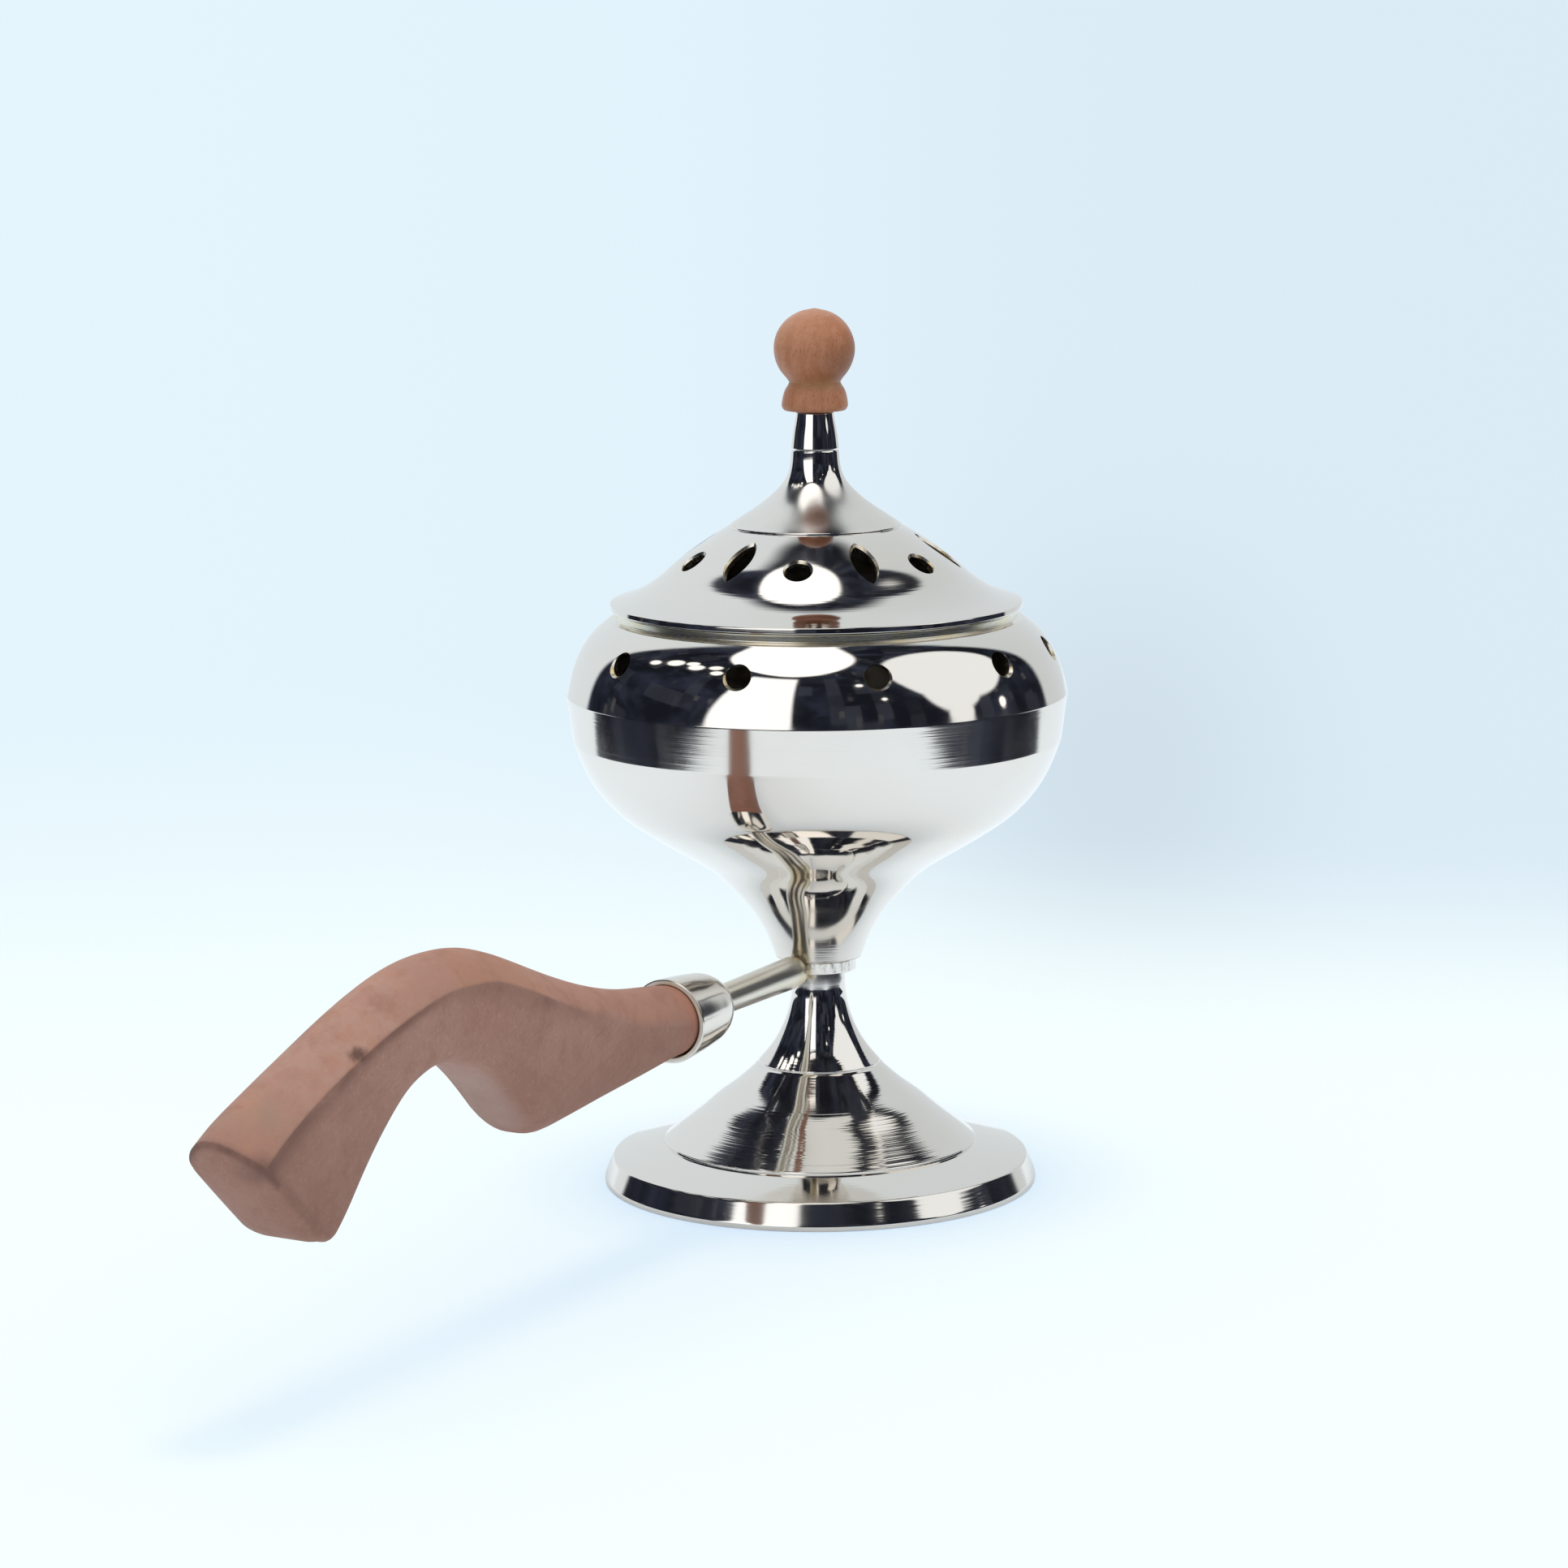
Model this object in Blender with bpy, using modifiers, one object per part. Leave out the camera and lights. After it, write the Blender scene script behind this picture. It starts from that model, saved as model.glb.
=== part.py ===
"""Standing hand censer: a turned metal foot and bowl clamped together by one
long bolt, a side handle with a wooden grip, a loose charcoal pan, and a
pierced lid with a wooden knob.

Frame: origin at the middle of the whole footprint, on the table, +Z up; the
stem stands STEM_X along +X and the handle reaches out along -X.  Every piece is
drawn round the stem axis in millimetres, scaled to metres as its mesh is made,
and hangs from an empty that carries it to its place.
"""
import math

import bmesh
import bpy
from mathutils import Matrix, Vector

MM = 0.001
UP = Vector((0.0, 0.0, 1.0))

# ------------------------------------------------------------ main dimensions
STEM_X = 76.5            # stem axis from the middle of the footprint
GAP = 0.3                # space between neighbouring pieces

# facets round a turned piece or a bar
ROUND = 40
MEDIUM = 32
SMALL = 20
HOLE_SIDES = 18
FINE = 16
HEXAGON = 6

# Turned profiles are lists of (radius, height) from the stem axis and the table.
# ------------------------------------------------------------------------ foot
BOLT_R = 3.0             # M6 clamp bolt
BORE_R = BOLT_R + GAP    # clearance bore for it
FOOT_R = 43.65           # radius of the foot at the table
FOOT_H = 43.2            # height of the foot's neck
FOOT_SEAT_Z = 26.8       # flat inside the foot for the washers and nut

FOOT_OUTER = [
    (BORE_R, FOOT_H), (5.1, FOOT_H), (5.3, 42.6), (5.4, 38.9), (5.9, 36.2),
    (6.6, 33.7), (7.6, 31.2), (9.1, 28.4), (11.0, 25.6), (12.3, 24.5),
    (12.6, 23.8), (13.75, 22.8), (17.1, 19.9), (20.8, 17.2), (24.2, 14.3),
    (27.9, 11.4), (31.3, 8.7), (31.9, 7.9), (36.6, 6.8), (41.85, 5.3),
    (FOOT_R, 1.0), (FOOT_R, 0.0)]
FOOT_INNER = [
    (39.6, 0.0), (39.2, 2.6), (33.0, 4.8), (29.4, 6.8), (25.6, 10.2),
    (21.8, 13.2), (17.6, 16.2), (14.0, 19.0), (10.8, 22.0), (8.6, 24.4),
    (7.4, FOOT_SEAT_Z), (BORE_R, FOOT_SEAT_Z)]

# ---------------------------------------------------------------- bowl and pan
SHELL_T = 1.4            # wall of the bowl and the lid
NECK_Z = 45.9            # underside of the bowl's neck
BOWL_SEAT_Z = 58.5       # flat inside the bowl for its washer
BOWL_R = 50.0            # widest radius of the bowl, at its sharp edge
BOWL_EDGE_Z = 99.7       # height of that edge
COLLAR_R = 39.9          # upstanding collar round the bowl's mouth
COLLAR_BORE_R = 38.4
COLLAR_TOP = 116.5

BOWL_NECK = [
    (8.6, NECK_Z), (9.6, 48.9), (10.75, 51.4), (12.25, 54.0), (14.15, 56.6),
    (16.6, 59.2), (18.9, 61.8)]
BOWL_WALL = [
    (22.2, 64.6), (27.2, 67.7), (31.6, 70.3), (35.8, 73.0), (39.3, 75.4),
    (42.5, 78.6), (45.2, 82.1), (47.3, 86.4), (48.8, 90.5),
    (BOWL_R, BOWL_EDGE_Z), (49.3, 102.7), (48.2, 106.0), (46.4, 109.6),
    (44.0, 112.5), (41.2, 114.6)]
BOWL_COLLAR = [(COLLAR_R, 115.0), (COLLAR_R, COLLAR_TOP)]
BOWL_FLOOR = [(BORE_R, NECK_Z), (BORE_R, BOWL_SEAT_Z), (9.0, BOWL_SEAT_Z), (14.0, 60.6)]
BOWL_MOUTH = [(COLLAR_BORE_R, 113.9), (COLLAR_BORE_R, COLLAR_TOP)]

# ten unevenly spaced round vents in the shoulder
VENT_R = 2.5
VENT_BAR_L = 14.0
VENT_CENTRE = (46.5, 109.4)      # radius, height
VENT_NORMAL = (0.913, 0.407)     # outward, upward
VENT_ANGLES = (4.0, 41.0, 78.0, 114.0, 155.0, 191.0, 224.5, 260.5, 291.0, 327.0)

PAN_Z = 70.7             # underside of the charcoal pan
PAN = [
    (0.0, 71.9), (26.4, 71.9), (30.4, 83.2), (33.4, 91.9), (36.4, 91.9),
    (36.4, 90.9), (34.2, 90.9), (31.5, 83.0), (27.5, 71.0), (27.0, PAN_Z),
    (0.0, PAN_Z)]

# ----------------------------------------------------------------------- clamp
WASHER_T = 1.2
BOWL_WASHER_R = 7.0
BOWL_WASHER_TOP = BOWL_SEAT_Z + GAP + WASHER_T
FOOT_WASHER_R = 6.2
FOOT_WASHER_TOP = FOOT_SEAT_Z - GAP

SPRING_R = 5.4
SPRING_T = 1.6
SPRING_TOP = FOOT_WASHER_TOP - WASHER_T - GAP
SPLIT_CENTRE = (4.6, 0.0, SPRING_TOP - SPRING_T / 2)
SPLIT_SIZE = (4.4, 0.8, 4.0)
SPLIT_TILT = 25.0        # degrees about X

NUT_CORNER_R = 5.77
NUT_H = 4.7
NUT_CENTRE = (0.0, 0.0, SPRING_TOP - SPRING_T - GAP - NUT_H / 2)
NUT_BORE_L = 8.0

BOLT_HEAD_R = 5.2
BOLT_HEAD_Z = BOWL_WASHER_TOP + GAP      # underside of the head
BOLT_TOP = 64.3
BOLT_END = 16.5
BOLT = [
    (0.0, BOLT_TOP), (4.4, BOLT_TOP), (BOLT_HEAD_R, 63.4),
    (BOLT_HEAD_R, BOLT_HEAD_Z), (BOLT_R, BOLT_HEAD_Z), (BOLT_R, 17.2),
    (2.3, BOLT_END), (0.0, BOLT_END)]
BOLT_SLOT_CENTRE = (0.0, 0.0, 64.0)
BOLT_SLOT_SIZE = (14.0, 1.4, 3.0)

# ---------------------------------------------------------------------- handle
EYE_R = 7.3              # ring round the bolt, between the foot and the bowl
EYE_TOP = NECK_Z - GAP
EYE_T = EYE_TOP - (FOOT_H + GAP)

ROD_Z = 44.5             # height of the handle's axis at the stem axis
ROD_DROOP = 0.9          # degrees below horizontal
HANDLE_DIRECTION = Vector((-math.cos(math.radians(ROD_DROOP)), 0.0,
                           -math.sin(math.radians(ROD_DROOP))))
ROD_START = 7.65
TANG_R = 2.0
TANG_END = 95.0
TANG_BORE_START = 40.0
TANG_BORE_END = TANG_END + 2.0
MOUTH = 57.4             # open mouth of the ferrule, along the handle

# the handle's turned pieces: (distance from the stem axis, radius)
ROD = [
    (ROD_START, 0.0), (ROD_START, 0.9), (11.2, 3.2), (20.0, 3.05), (41.2, 2.6),
    (41.4, TANG_R), (TANG_END - 1.0, TANG_R), (TANG_END, 1.2), (TANG_END, 0.0)]
FERRULE_OUTER = [
    (41.6, 2.9), (42.2, 4.4), (43.6, 5.7), (45.6, 6.6), (49.0, 7.2),
    (56.4, 8.0), (MOUTH, 8.1)]
FERRULE_INNER = [(MOUTH, 7.3), (48.6, 6.4), (46.0, 5.6), (44.0, 4.6), (43.2, 2.9)]

# the grip's ribs: top point, bottom point (both along the handle, height),
# half width, rise of the arched top above the side's crease, corner radius
RIBS = [
    ((47.0, 49.6), (47.0, 38.0), 5.8, 5.8, 5.8),
    ((56.5, 50.4), (56.5, 36.9), 6.7, 6.7, 6.7),
    ((63.0, 51.4), (62.0, 36.8), 7.1, 6.9, 6.9),
    ((76.0, 53.2), (74.0, 35.8), 7.3, 6.4, 6.8),
    ((90.0, 56.9), (88.0, 34.8), 7.5, 6.2, 6.6),
    ((102.0, 61.3), (101.0, 33.7), 7.6, 6.2, 6.4),
    ((113.0, 65.8), (110.5, 33.1), 7.6, 5.9, 6.4),
    ((121.0, 68.8), (115.0, 35.0), 7.6, 6.2, 6.8),
    ((129.0, 71.0), (118.8, 39.0), 7.6, 6.2, 7.2),
    ((137.0, 71.9), (123.9, 44.2), 7.6, 6.8, 7.2),
    ((146.0, 71.7), (131.2, 49.8), 7.6, 7.0, 6.6),
    ((155.2, 70.0), (141.2, 52.6), 7.6, 7.1, 5.4),
    ((165.4, 66.8), (151.6, 50.6), 7.6, 6.4, 4.6),
    ((176.5, 62.5), (159.4, 45.4), 7.6, 6.0, 4.4),
    ((187.5, 58.3), (166.4, 39.2), 7.7, 6.2, 4.2),
    ((197.4, 54.6), (172.8, 32.7), 7.8, 7.2, 4.0),
    ((202.4, 51.8), (178.2, 28.4), 7.8, 7.4, 3.8),
    ((203.0, 49.6), (181.2, 28.0), 7.0, 6.4, 3.2),
    ((202.4, 47.4), (184.2, 29.4), 5.6, 5.0, 2.6)]
RIB_POINTS = 24
ARCH_END = 0.4           # share of half a rib's points where the arch ends
SIDE_END = 0.7           # and where the flat side ends
GRIP_SHARP_ANGLE = 40.0  # degrees; steeper edges are shaded sharp

# ------------------------------------------------------------------------- lid
SCREW_R = 1.5
SCREW_BORE_R = SCREW_R + GAP
LID_R = 41.1             # radius of the lid's rim
LID_Z = COLLAR_TOP + GAP         # underside of the lid's rim
LID_TOP = 155.5          # top of the lid's neck
LID_SEAT_Z = 137.6       # flat inside the lid for the knob screw's washer

LID_NECK = [
    (SCREW_BORE_R, LID_TOP), (3.7, LID_TOP), (3.8, 154.3), (4.3, 152.0),
    (4.74, 149.2), (4.5, 148.0), (4.74, 146.9), (5.0, 144.6), (5.9, 142.1),
    (8.0, 139.7)]
LID_WALL = [
    (11.0, 137.2), (14.8, 134.7), (17.0, 133.2), (17.4, 132.6), (18.7, 132.1),
    (22.4, 129.6), (26.1, 127.2), (28.8, 124.9), (31.4, 122.5)]
LID_RIM = [(36.0, 119.6), (41.0, 117.9), (LID_R, LID_Z), (35.6, LID_Z)]
LID_SEAT = [(7.9, LID_SEAT_Z), (SCREW_BORE_R, LID_SEAT_Z)]

# round holes and leaves alternate round the lid; centres are (radius, height)
LID_HOLES = 6            # of each kind
LID_NORMAL = (0.55, 0.835)       # outward, upward
HOLE_R = 2.65
HOLE_BAR_L = 12.0
HOLE_CENTRE = (26.2, 127.1)
HOLE_START = 22.3        # degrees from +X
LEAF_L = 11.5
LEAF_W = 4.6
LEAF_HALF_DEPTH = 6.0    # cutter's reach either side of its centre
LEAF_ARC_STEPS = 8
LEAF_CENTRE = (24.7, 128.1)
LEAF_START = 52.5

SEAT_RING_TOP = LID_Z - GAP
SEAT_RING_BOTTOM = 112.6
SEAT_RING_BORE_R = 36.3
SEAT_RING_R = 37.7
SEAT_RING = [
    (SEAT_RING_BORE_R, SEAT_RING_TOP), (SEAT_RING_R, SEAT_RING_TOP),
    (SEAT_RING_R, 113.0), (37.3, SEAT_RING_BOTTOM),
    (SEAT_RING_BORE_R, SEAT_RING_BOTTOM)]

# ------------------------------------------------------------------------ knob
KNOB_WASHER_R = 4.6
KNOB_WASHER_T = 0.8
KNOB_WASHER_TOP = LID_SEAT_Z - GAP
SCREW_HEAD_Z = KNOB_WASHER_TOP - KNOB_WASHER_T - GAP     # top of the head
KNOB_SCREW = [
    (0.0, 165.8), (SCREW_R, 165.2), (SCREW_R, SCREW_HEAD_Z),
    (3.0, SCREW_HEAD_Z), (2.9, 135.0), (2.0, 134.1), (0.0, 133.9)]
SCREW_SLOT_CENTRE = (0.0, 0.0, 134.2)
SCREW_SLOT_SIZE = (9.0, 0.8, 1.8)

BALL_R = 8.05            # ball of the wooden knob
BALL_Z = 167.9
BALL_POINTS = 9          # profile points below the ball's pole
BALL_STEP = 14.5         # degrees between them
KNOB_BOTTOM = LID_TOP + GAP
KNOB_BORE_TOP = 166.6
KNOB_COLLAR = [
    (5.5, 162.0), (5.15, 161.3), (5.35, 160.3), (6.0, 158.6), (6.6, 156.7),
    (6.3, 155.9)]
KNOB_BORE = [(SCREW_BORE_R, KNOB_BOTTOM), (SCREW_BORE_R, KNOB_BORE_TOP),
             (0.0, KNOB_BORE_TOP)]


# ----------------------------------------------------------------------- scene
def start():
    """Empty the scene and make the collections for pieces and cutters."""
    for ob in list(bpy.data.objects):
        bpy.data.objects.remove(ob, do_unlink=True)
    collections = []
    for name in ("standing_hand_censer", "cutters"):
        collection = bpy.data.collections.new(name)
        bpy.context.scene.collection.children.link(collection)
        collections.append(collection)
    return collections


MODEL, CUTTERS = start()


def add_piece(name, mesh, mat):
    ob = bpy.data.objects.new(name, mesh)
    MODEL.objects.link(ob)
    mesh.materials.append(mat)
    return ob


def add_cutter(name, mesh):
    ob = bpy.data.objects.new(name, mesh)
    CUTTERS.objects.link(ob)
    ob.hide_render = True
    ob.display_type = "WIRE"
    return ob


def add_axis(name, height):
    """An empty on the stem axis, for pieces to hang from."""
    ob = bpy.data.objects.new(name, None)
    ob.empty_display_size = 0.02
    MODEL.objects.link(ob)
    ob.location.z = height * MM
    return ob


def hang(ob, parent):
    """Parent a piece and keep where it stands in the world."""
    ob.parent = parent
    ob.matrix_parent_inverse = Matrix.Translation(-parent.location)


# ------------------------------------------------------------------- materials
def material(name, colour, metallic, roughness):
    mat = bpy.data.materials.new(name)
    mat.use_nodes = True
    bsdf = mat.node_tree.nodes["Principled BSDF"]
    bsdf.inputs["Base Color"].default_value = (*colour, 1.0)
    bsdf.inputs["Metallic"].default_value = metallic
    bsdf.inputs["Roughness"].default_value = roughness
    mat.diffuse_color = (*colour, 1.0)
    return mat


def nickel(name):
    return material(name, colour=(0.80, 0.79, 0.76), metallic=1.0, roughness=0.08)


def brass(name):
    return material(name, colour=(0.72, 0.58, 0.30), metallic=1.0, roughness=0.30)


def steel(name):
    return material(name, colour=(0.56, 0.57, 0.58), metallic=1.0, roughness=0.35)


def wood(name):
    return material(name, colour=(0.36, 0.19, 0.14), metallic=0.0, roughness=0.60)


# ---------------------------------------------------------------- basic shapes
def turned(name, points, finish, steps=ROUND):
    """Spin a (radius, z) profile about Z.  It runs down the outer side; one
    that touches the axis at an end stays open, any other closes on itself."""
    verts = [(r * MM, 0.0, z * MM) for r, z in points]
    edges = [(i, i + 1) for i in range(len(points) - 1)]
    if points[0][0] != 0.0 and points[-1][0] != 0.0:
        edges.append((len(points) - 1, 0))
    mesh = bpy.data.meshes.new(name)
    mesh.from_pydata(verts, edges, [])
    ob = add_piece(name, mesh, finish(name))
    screw = ob.modifiers.new("turn", "SCREW")
    screw.axis = "Z"
    screw.angle = math.tau
    screw.steps = steps
    screw.render_steps = steps
    screw.use_merge_vertices = True
    screw.merge_threshold = 0.00002
    screw.use_smooth_shade = True
    return ob


def flat_ring(name, bore_r, outer_r, top, thickness, finish=steel, steps=SMALL):
    bottom = top - thickness
    profile = [(bore_r, top), (outer_r, top), (outer_r, bottom), (bore_r, bottom)]
    return turned(name, profile, finish, steps)


def turned_on_handle(name, stations, steps):
    """Turn (distance, radius) stations and lay the piece along the handle."""
    ob = turned(name, [(r, along) for along, r in reversed(stations)], nickel, steps)
    ob.rotation_euler = (0.0, -math.radians(90.0 + ROD_DROOP), 0.0)
    ob.location = (0.0, 0.0, ROD_Z * MM)
    return ob


def bmesh_to_mesh(bm, name):
    mesh = bpy.data.meshes.new(name)
    bm.to_mesh(mesh)
    bm.free()
    return mesh


def bars(name, places, radius, length, segments):
    """One mesh of several straight bars, one for each (centre, direction)."""
    bm = bmesh.new()
    for centre, direction in places:
        turn = UP.rotation_difference(Vector(direction)).to_matrix().to_4x4()
        bmesh.ops.create_cone(
            bm, cap_ends=True, cap_tris=False, segments=segments,
            radius1=radius * MM, radius2=radius * MM, depth=length * MM,
            matrix=Matrix.Translation(Vector(centre) * MM) @ turn)
    return bmesh_to_mesh(bm, name)


def cut(ob, cutter):
    mod = ob.modifiers.new("cut_" + cutter.name, "BOOLEAN")
    mod.operation = "DIFFERENCE"
    mod.solver = "EXACT"
    mod.object = cutter


def cut_bars(ob, name, *bar_args):
    cut(ob, add_cutter(name, bars(name, *bar_args)))


def cut_box(ob, name, centre, size, tilt=0.0):
    """Cut with a box tilted by some degrees about X."""
    bm = bmesh.new()
    scale = Matrix.Diagonal((*(side * MM for side in size), 1.0))
    bmesh.ops.create_cube(
        bm, size=1.0, matrix=Matrix.Rotation(math.radians(tilt), 4, "X") @ scale)
    box = add_cutter(name, bmesh_to_mesh(bm, name))
    box.location = Vector(centre) * MM
    cut(ob, box)


def around(centre, angles, normal):
    """Positions and outward normals on a ring; centre and normal are (r, z)."""
    places = []
    for angle in angles:
        cos, sin = math.cos(math.radians(angle)), math.sin(math.radians(angle))
        places.append(((centre[0] * cos, centre[0] * sin, centre[1]),
                       (normal[0] * cos, normal[0] * sin, normal[1])))
    return places


def round_lid(centre, start_angle):
    angles = [start_angle + 360.0 * k / LID_HOLES for k in range(LID_HOLES)]
    return around(centre, angles, LID_NORMAL)


def inward(points, thickness):
    """The inner side of a wall whose outer side is given from bottom to top."""
    inner = []
    for i, (r, z) in enumerate(points):
        before = points[max(i - 1, 0)]
        after = points[min(i + 1, len(points) - 1)]
        dr, dz = after[0] - before[0], after[1] - before[1]
        length = math.hypot(dr, dz)
        inner.append((r - dz / length * thickness, z + dr / length * thickness))
    return inner


# ---------------------------------------------------------------------- pieces
def build_clamp():
    """The bolt, its washers and the nut."""
    bolt = turned("stem_bolt", BOLT, steel, SMALL)
    cut_box(bolt, "bolt_slot", BOLT_SLOT_CENTRE, BOLT_SLOT_SIZE)

    flat_ring("bowl_washer", BORE_R, BOWL_WASHER_R, BOWL_WASHER_TOP, WASHER_T)
    flat_ring("foot_washer", BORE_R, FOOT_WASHER_R, FOOT_WASHER_TOP, WASHER_T)
    spring = flat_ring("spring_washer", BORE_R, SPRING_R, SPRING_TOP, SPRING_T)
    cut_box(spring, "spring_split", SPLIT_CENTRE, SPLIT_SIZE, SPLIT_TILT)

    place = [(NUT_CENTRE, UP)]
    nut = add_piece("stem_nut", bars("stem_nut", place, NUT_CORNER_R, NUT_H, HEXAGON),
                    steel("stem_nut"))
    cut_bars(nut, "nut_bore", place, BORE_R, NUT_BORE_L, SMALL)


def build_bowl():
    outer = BOWL_NECK + BOWL_WALL + BOWL_COLLAR
    # the wall's last inner point gives way to the mouth's straight bore
    inner = BOWL_FLOOR + inward(BOWL_WALL, SHELL_T)[:-1] + BOWL_MOUTH[:1]
    bowl = turned("bowl", BOWL_MOUTH[1:] + outer[::-1] + inner, nickel)
    cut_bars(bowl, "vent_bars", around(VENT_CENTRE, VENT_ANGLES, VENT_NORMAL),
             VENT_R, VENT_BAR_L, SMALL)


def build_pan():
    hang(turned("charcoal_pan", PAN, steel), add_axis("pan_axis", PAN_Z))


def rib_ring(top, bottom, half_w, rise, corner):
    """One section of the grip: flat sides, an arched top that meets them at a
    crease, and a flat underside with rounded corners."""
    top, bottom = Vector(top), Vector(bottom)
    height = (top - bottom).length
    up = (top - bottom).normalized()
    ring = []
    half = RIB_POINTS // 2
    for k in range(RIB_POINTS):
        side = 1.0 if k < half else -1.0
        t = (k if k < half else RIB_POINTS - k) / half     # 0 top to 1 bottom
        if t <= ARCH_END:
            turn = t / ARCH_END * math.radians(90.0)
            across = half_w * math.sin(turn)
            h = height - rise * (1.0 - math.cos(turn))
        elif t <= SIDE_END:
            across = half_w
            f = (t - ARCH_END) / (SIDE_END - ARCH_END)
            h = (height - rise) * (1.0 - f) + corner * f
        else:                                               # the lower corner
            turn = (t - SIDE_END) / (1.0 - SIDE_END) * math.radians(90.0)
            across = half_w - corner * (1.0 - math.cos(turn))
            h = corner * (1.0 - math.sin(turn))
            if k == half:                                   # middle of the underside
                across = 0.0
        point = bottom + up * h
        ring.append((-point.x * MM, -side * across * MM, point.y * MM))
    return ring


def build_grip():
    """Loft the ribs into a closed solid, bored for the rod's tang."""
    bm = bmesh.new()
    rows = [[bm.verts.new(point) for point in rib_ring(*rib)] for rib in RIBS]
    for row, following in zip(rows[:-1], rows[1:]):
        for k in range(RIB_POINTS):
            j = (k + 1) % RIB_POINTS
            bm.faces.new((row[k], row[j], following[j], following[k]))
    bm.faces.new(list(reversed(rows[0])))
    bm.faces.new(rows[-1])
    bmesh.ops.recalc_face_normals(bm, faces=bm.faces)
    mesh = bmesh_to_mesh(bm, "grip")
    mesh.shade_smooth()
    mesh.set_sharp_from_angle(angle=math.radians(GRIP_SHARP_ANGLE))
    grip = add_piece("grip", mesh, wood("grip"))

    middle = (TANG_BORE_START + TANG_BORE_END) / 2
    centre = UP * ROD_Z + HANDLE_DIRECTION * middle
    cut_bars(grip, "tang_bore", [(centre, HANDLE_DIRECTION)],
             TANG_R + GAP, TANG_BORE_END - TANG_BORE_START, FINE)
    return grip


def build_handle():
    axis = add_axis("handle_axis", ROD_Z)
    hang(flat_ring("eye_ring", BORE_R, EYE_R, EYE_TOP, EYE_T, nickel, MEDIUM), axis)
    hang(turned_on_handle("handle_rod", ROD, SMALL), axis)
    hang(turned_on_handle("ferrule", FERRULE_INNER + FERRULE_OUTER, MEDIUM), axis)
    hang(build_grip(), axis)


def leaf_mesh():
    """A pointed leaf, two arcs meeting at the tips along X, with its thickness
    along Z: drawn as a flat curve and extruded."""
    half_l, half_w = LEAF_L / 2, LEAF_W / 2
    radius = (half_l ** 2 + half_w ** 2) / (2 * half_w)
    span = math.asin(half_l / radius)
    outline = []
    for side in (1, -1):
        for i in range(LEAF_ARC_STEPS):
            angle = side * (-span + 2 * span * i / LEAF_ARC_STEPS)
            outline.append((radius * math.sin(angle),
                            side * (radius * math.cos(angle) - (radius - half_w))))
    curve = bpy.data.curves.new("leaf", "CURVE")
    curve.dimensions = "2D"
    curve.fill_mode = "BOTH"
    curve.extrude = LEAF_HALF_DEPTH * MM
    line = curve.splines.new("POLY")
    line.points.add(len(outline) - 1)
    for point, (x, y) in zip(line.points, outline):
        point.co = (x * MM, y * MM, 0.0, 1.0)
    line.use_cyclic_u = True
    guide = bpy.data.objects.new("leaf_guide", curve)
    CUTTERS.objects.link(guide)
    bpy.context.view_layer.update()
    depsgraph = bpy.context.evaluated_depsgraph_get()
    mesh = bpy.data.meshes.new_from_object(guide.evaluated_get(depsgraph))
    bpy.data.objects.remove(guide, do_unlink=True)

    # weld the caps to the sides
    bm = bmesh.new()
    bm.from_mesh(mesh)
    bmesh.ops.remove_doubles(bm, verts=bm.verts, dist=0.00001)
    bmesh.ops.recalc_face_normals(bm, faces=bm.faces)
    bm.to_mesh(mesh)
    bm.free()
    return mesh


def leaf_cutter():
    """Leaves set round the lid square to its slope, tips up and down it."""
    leaf = leaf_mesh()
    bm = bmesh.new()
    for centre, direction in round_lid(LEAF_CENTRE, LEAF_START):
        normal = Vector(direction).normalized()
        across = UP.cross(normal).normalized()
        frame = Matrix((across.cross(normal), across, normal)).transposed().to_4x4()
        part = leaf.copy()
        part.transform(Matrix.Translation(Vector(centre) * MM) @ frame)
        bm.from_mesh(part)
        bpy.data.meshes.remove(part)
    bpy.data.meshes.remove(leaf)
    return add_cutter("leaf_bars", bmesh_to_mesh(bm, "leaf_bars"))


def build_lid(axis):
    inner = inward(LID_WALL[::-1], SHELL_T)
    lid = turned("lid", LID_NECK + LID_WALL + LID_RIM + inner + LID_SEAT, nickel)
    hang(lid, axis)
    cut_bars(lid, "lid_bars", round_lid(HOLE_CENTRE, HOLE_START),
             HOLE_R, HOLE_BAR_L, HOLE_SIDES)
    cut(lid, leaf_cutter())
    hang(turned("lid_seat_ring", SEAT_RING, brass), axis)


def build_knob(axis):
    """A ball on a short waisted collar, bored blind from below for its screw."""
    hang(flat_ring("knob_washer", SCREW_BORE_R, KNOB_WASHER_R, KNOB_WASHER_TOP,
                   KNOB_WASHER_T), axis)
    screw = turned("knob_screw", KNOB_SCREW, steel, FINE)
    hang(screw, axis)
    cut_box(screw, "screw_slot", SCREW_SLOT_CENTRE, SCREW_SLOT_SIZE)

    ball = [(0.0, BALL_Z + BALL_R)]
    for i in range(1, BALL_POINTS + 1):
        angle = math.radians(90.0 - i * BALL_STEP)
        ball.append((BALL_R * math.cos(angle), BALL_Z + BALL_R * math.sin(angle)))
    hang(turned("knob", ball + KNOB_COLLAR + KNOB_BORE, wood, MEDIUM), axis)


def hang_all_on_stem():
    """Carry everything not yet hung, cutters too, out to the stem's place."""
    loose = [ob for ob in [*MODEL.objects, *CUTTERS.objects] if ob.parent is None]
    stem_axis = add_axis("stem_axis", 0.0)
    stem_axis.location.x = STEM_X * MM
    for ob in loose:
        ob.parent = stem_axis


turned("foot", FOOT_OUTER + FOOT_INNER, nickel)
build_clamp()
build_bowl()
build_pan()
build_handle()
lid_axis = add_axis("lid_axis", LID_Z)
build_lid(lid_axis)
build_knob(lid_axis)
hang_all_on_stem()
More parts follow.
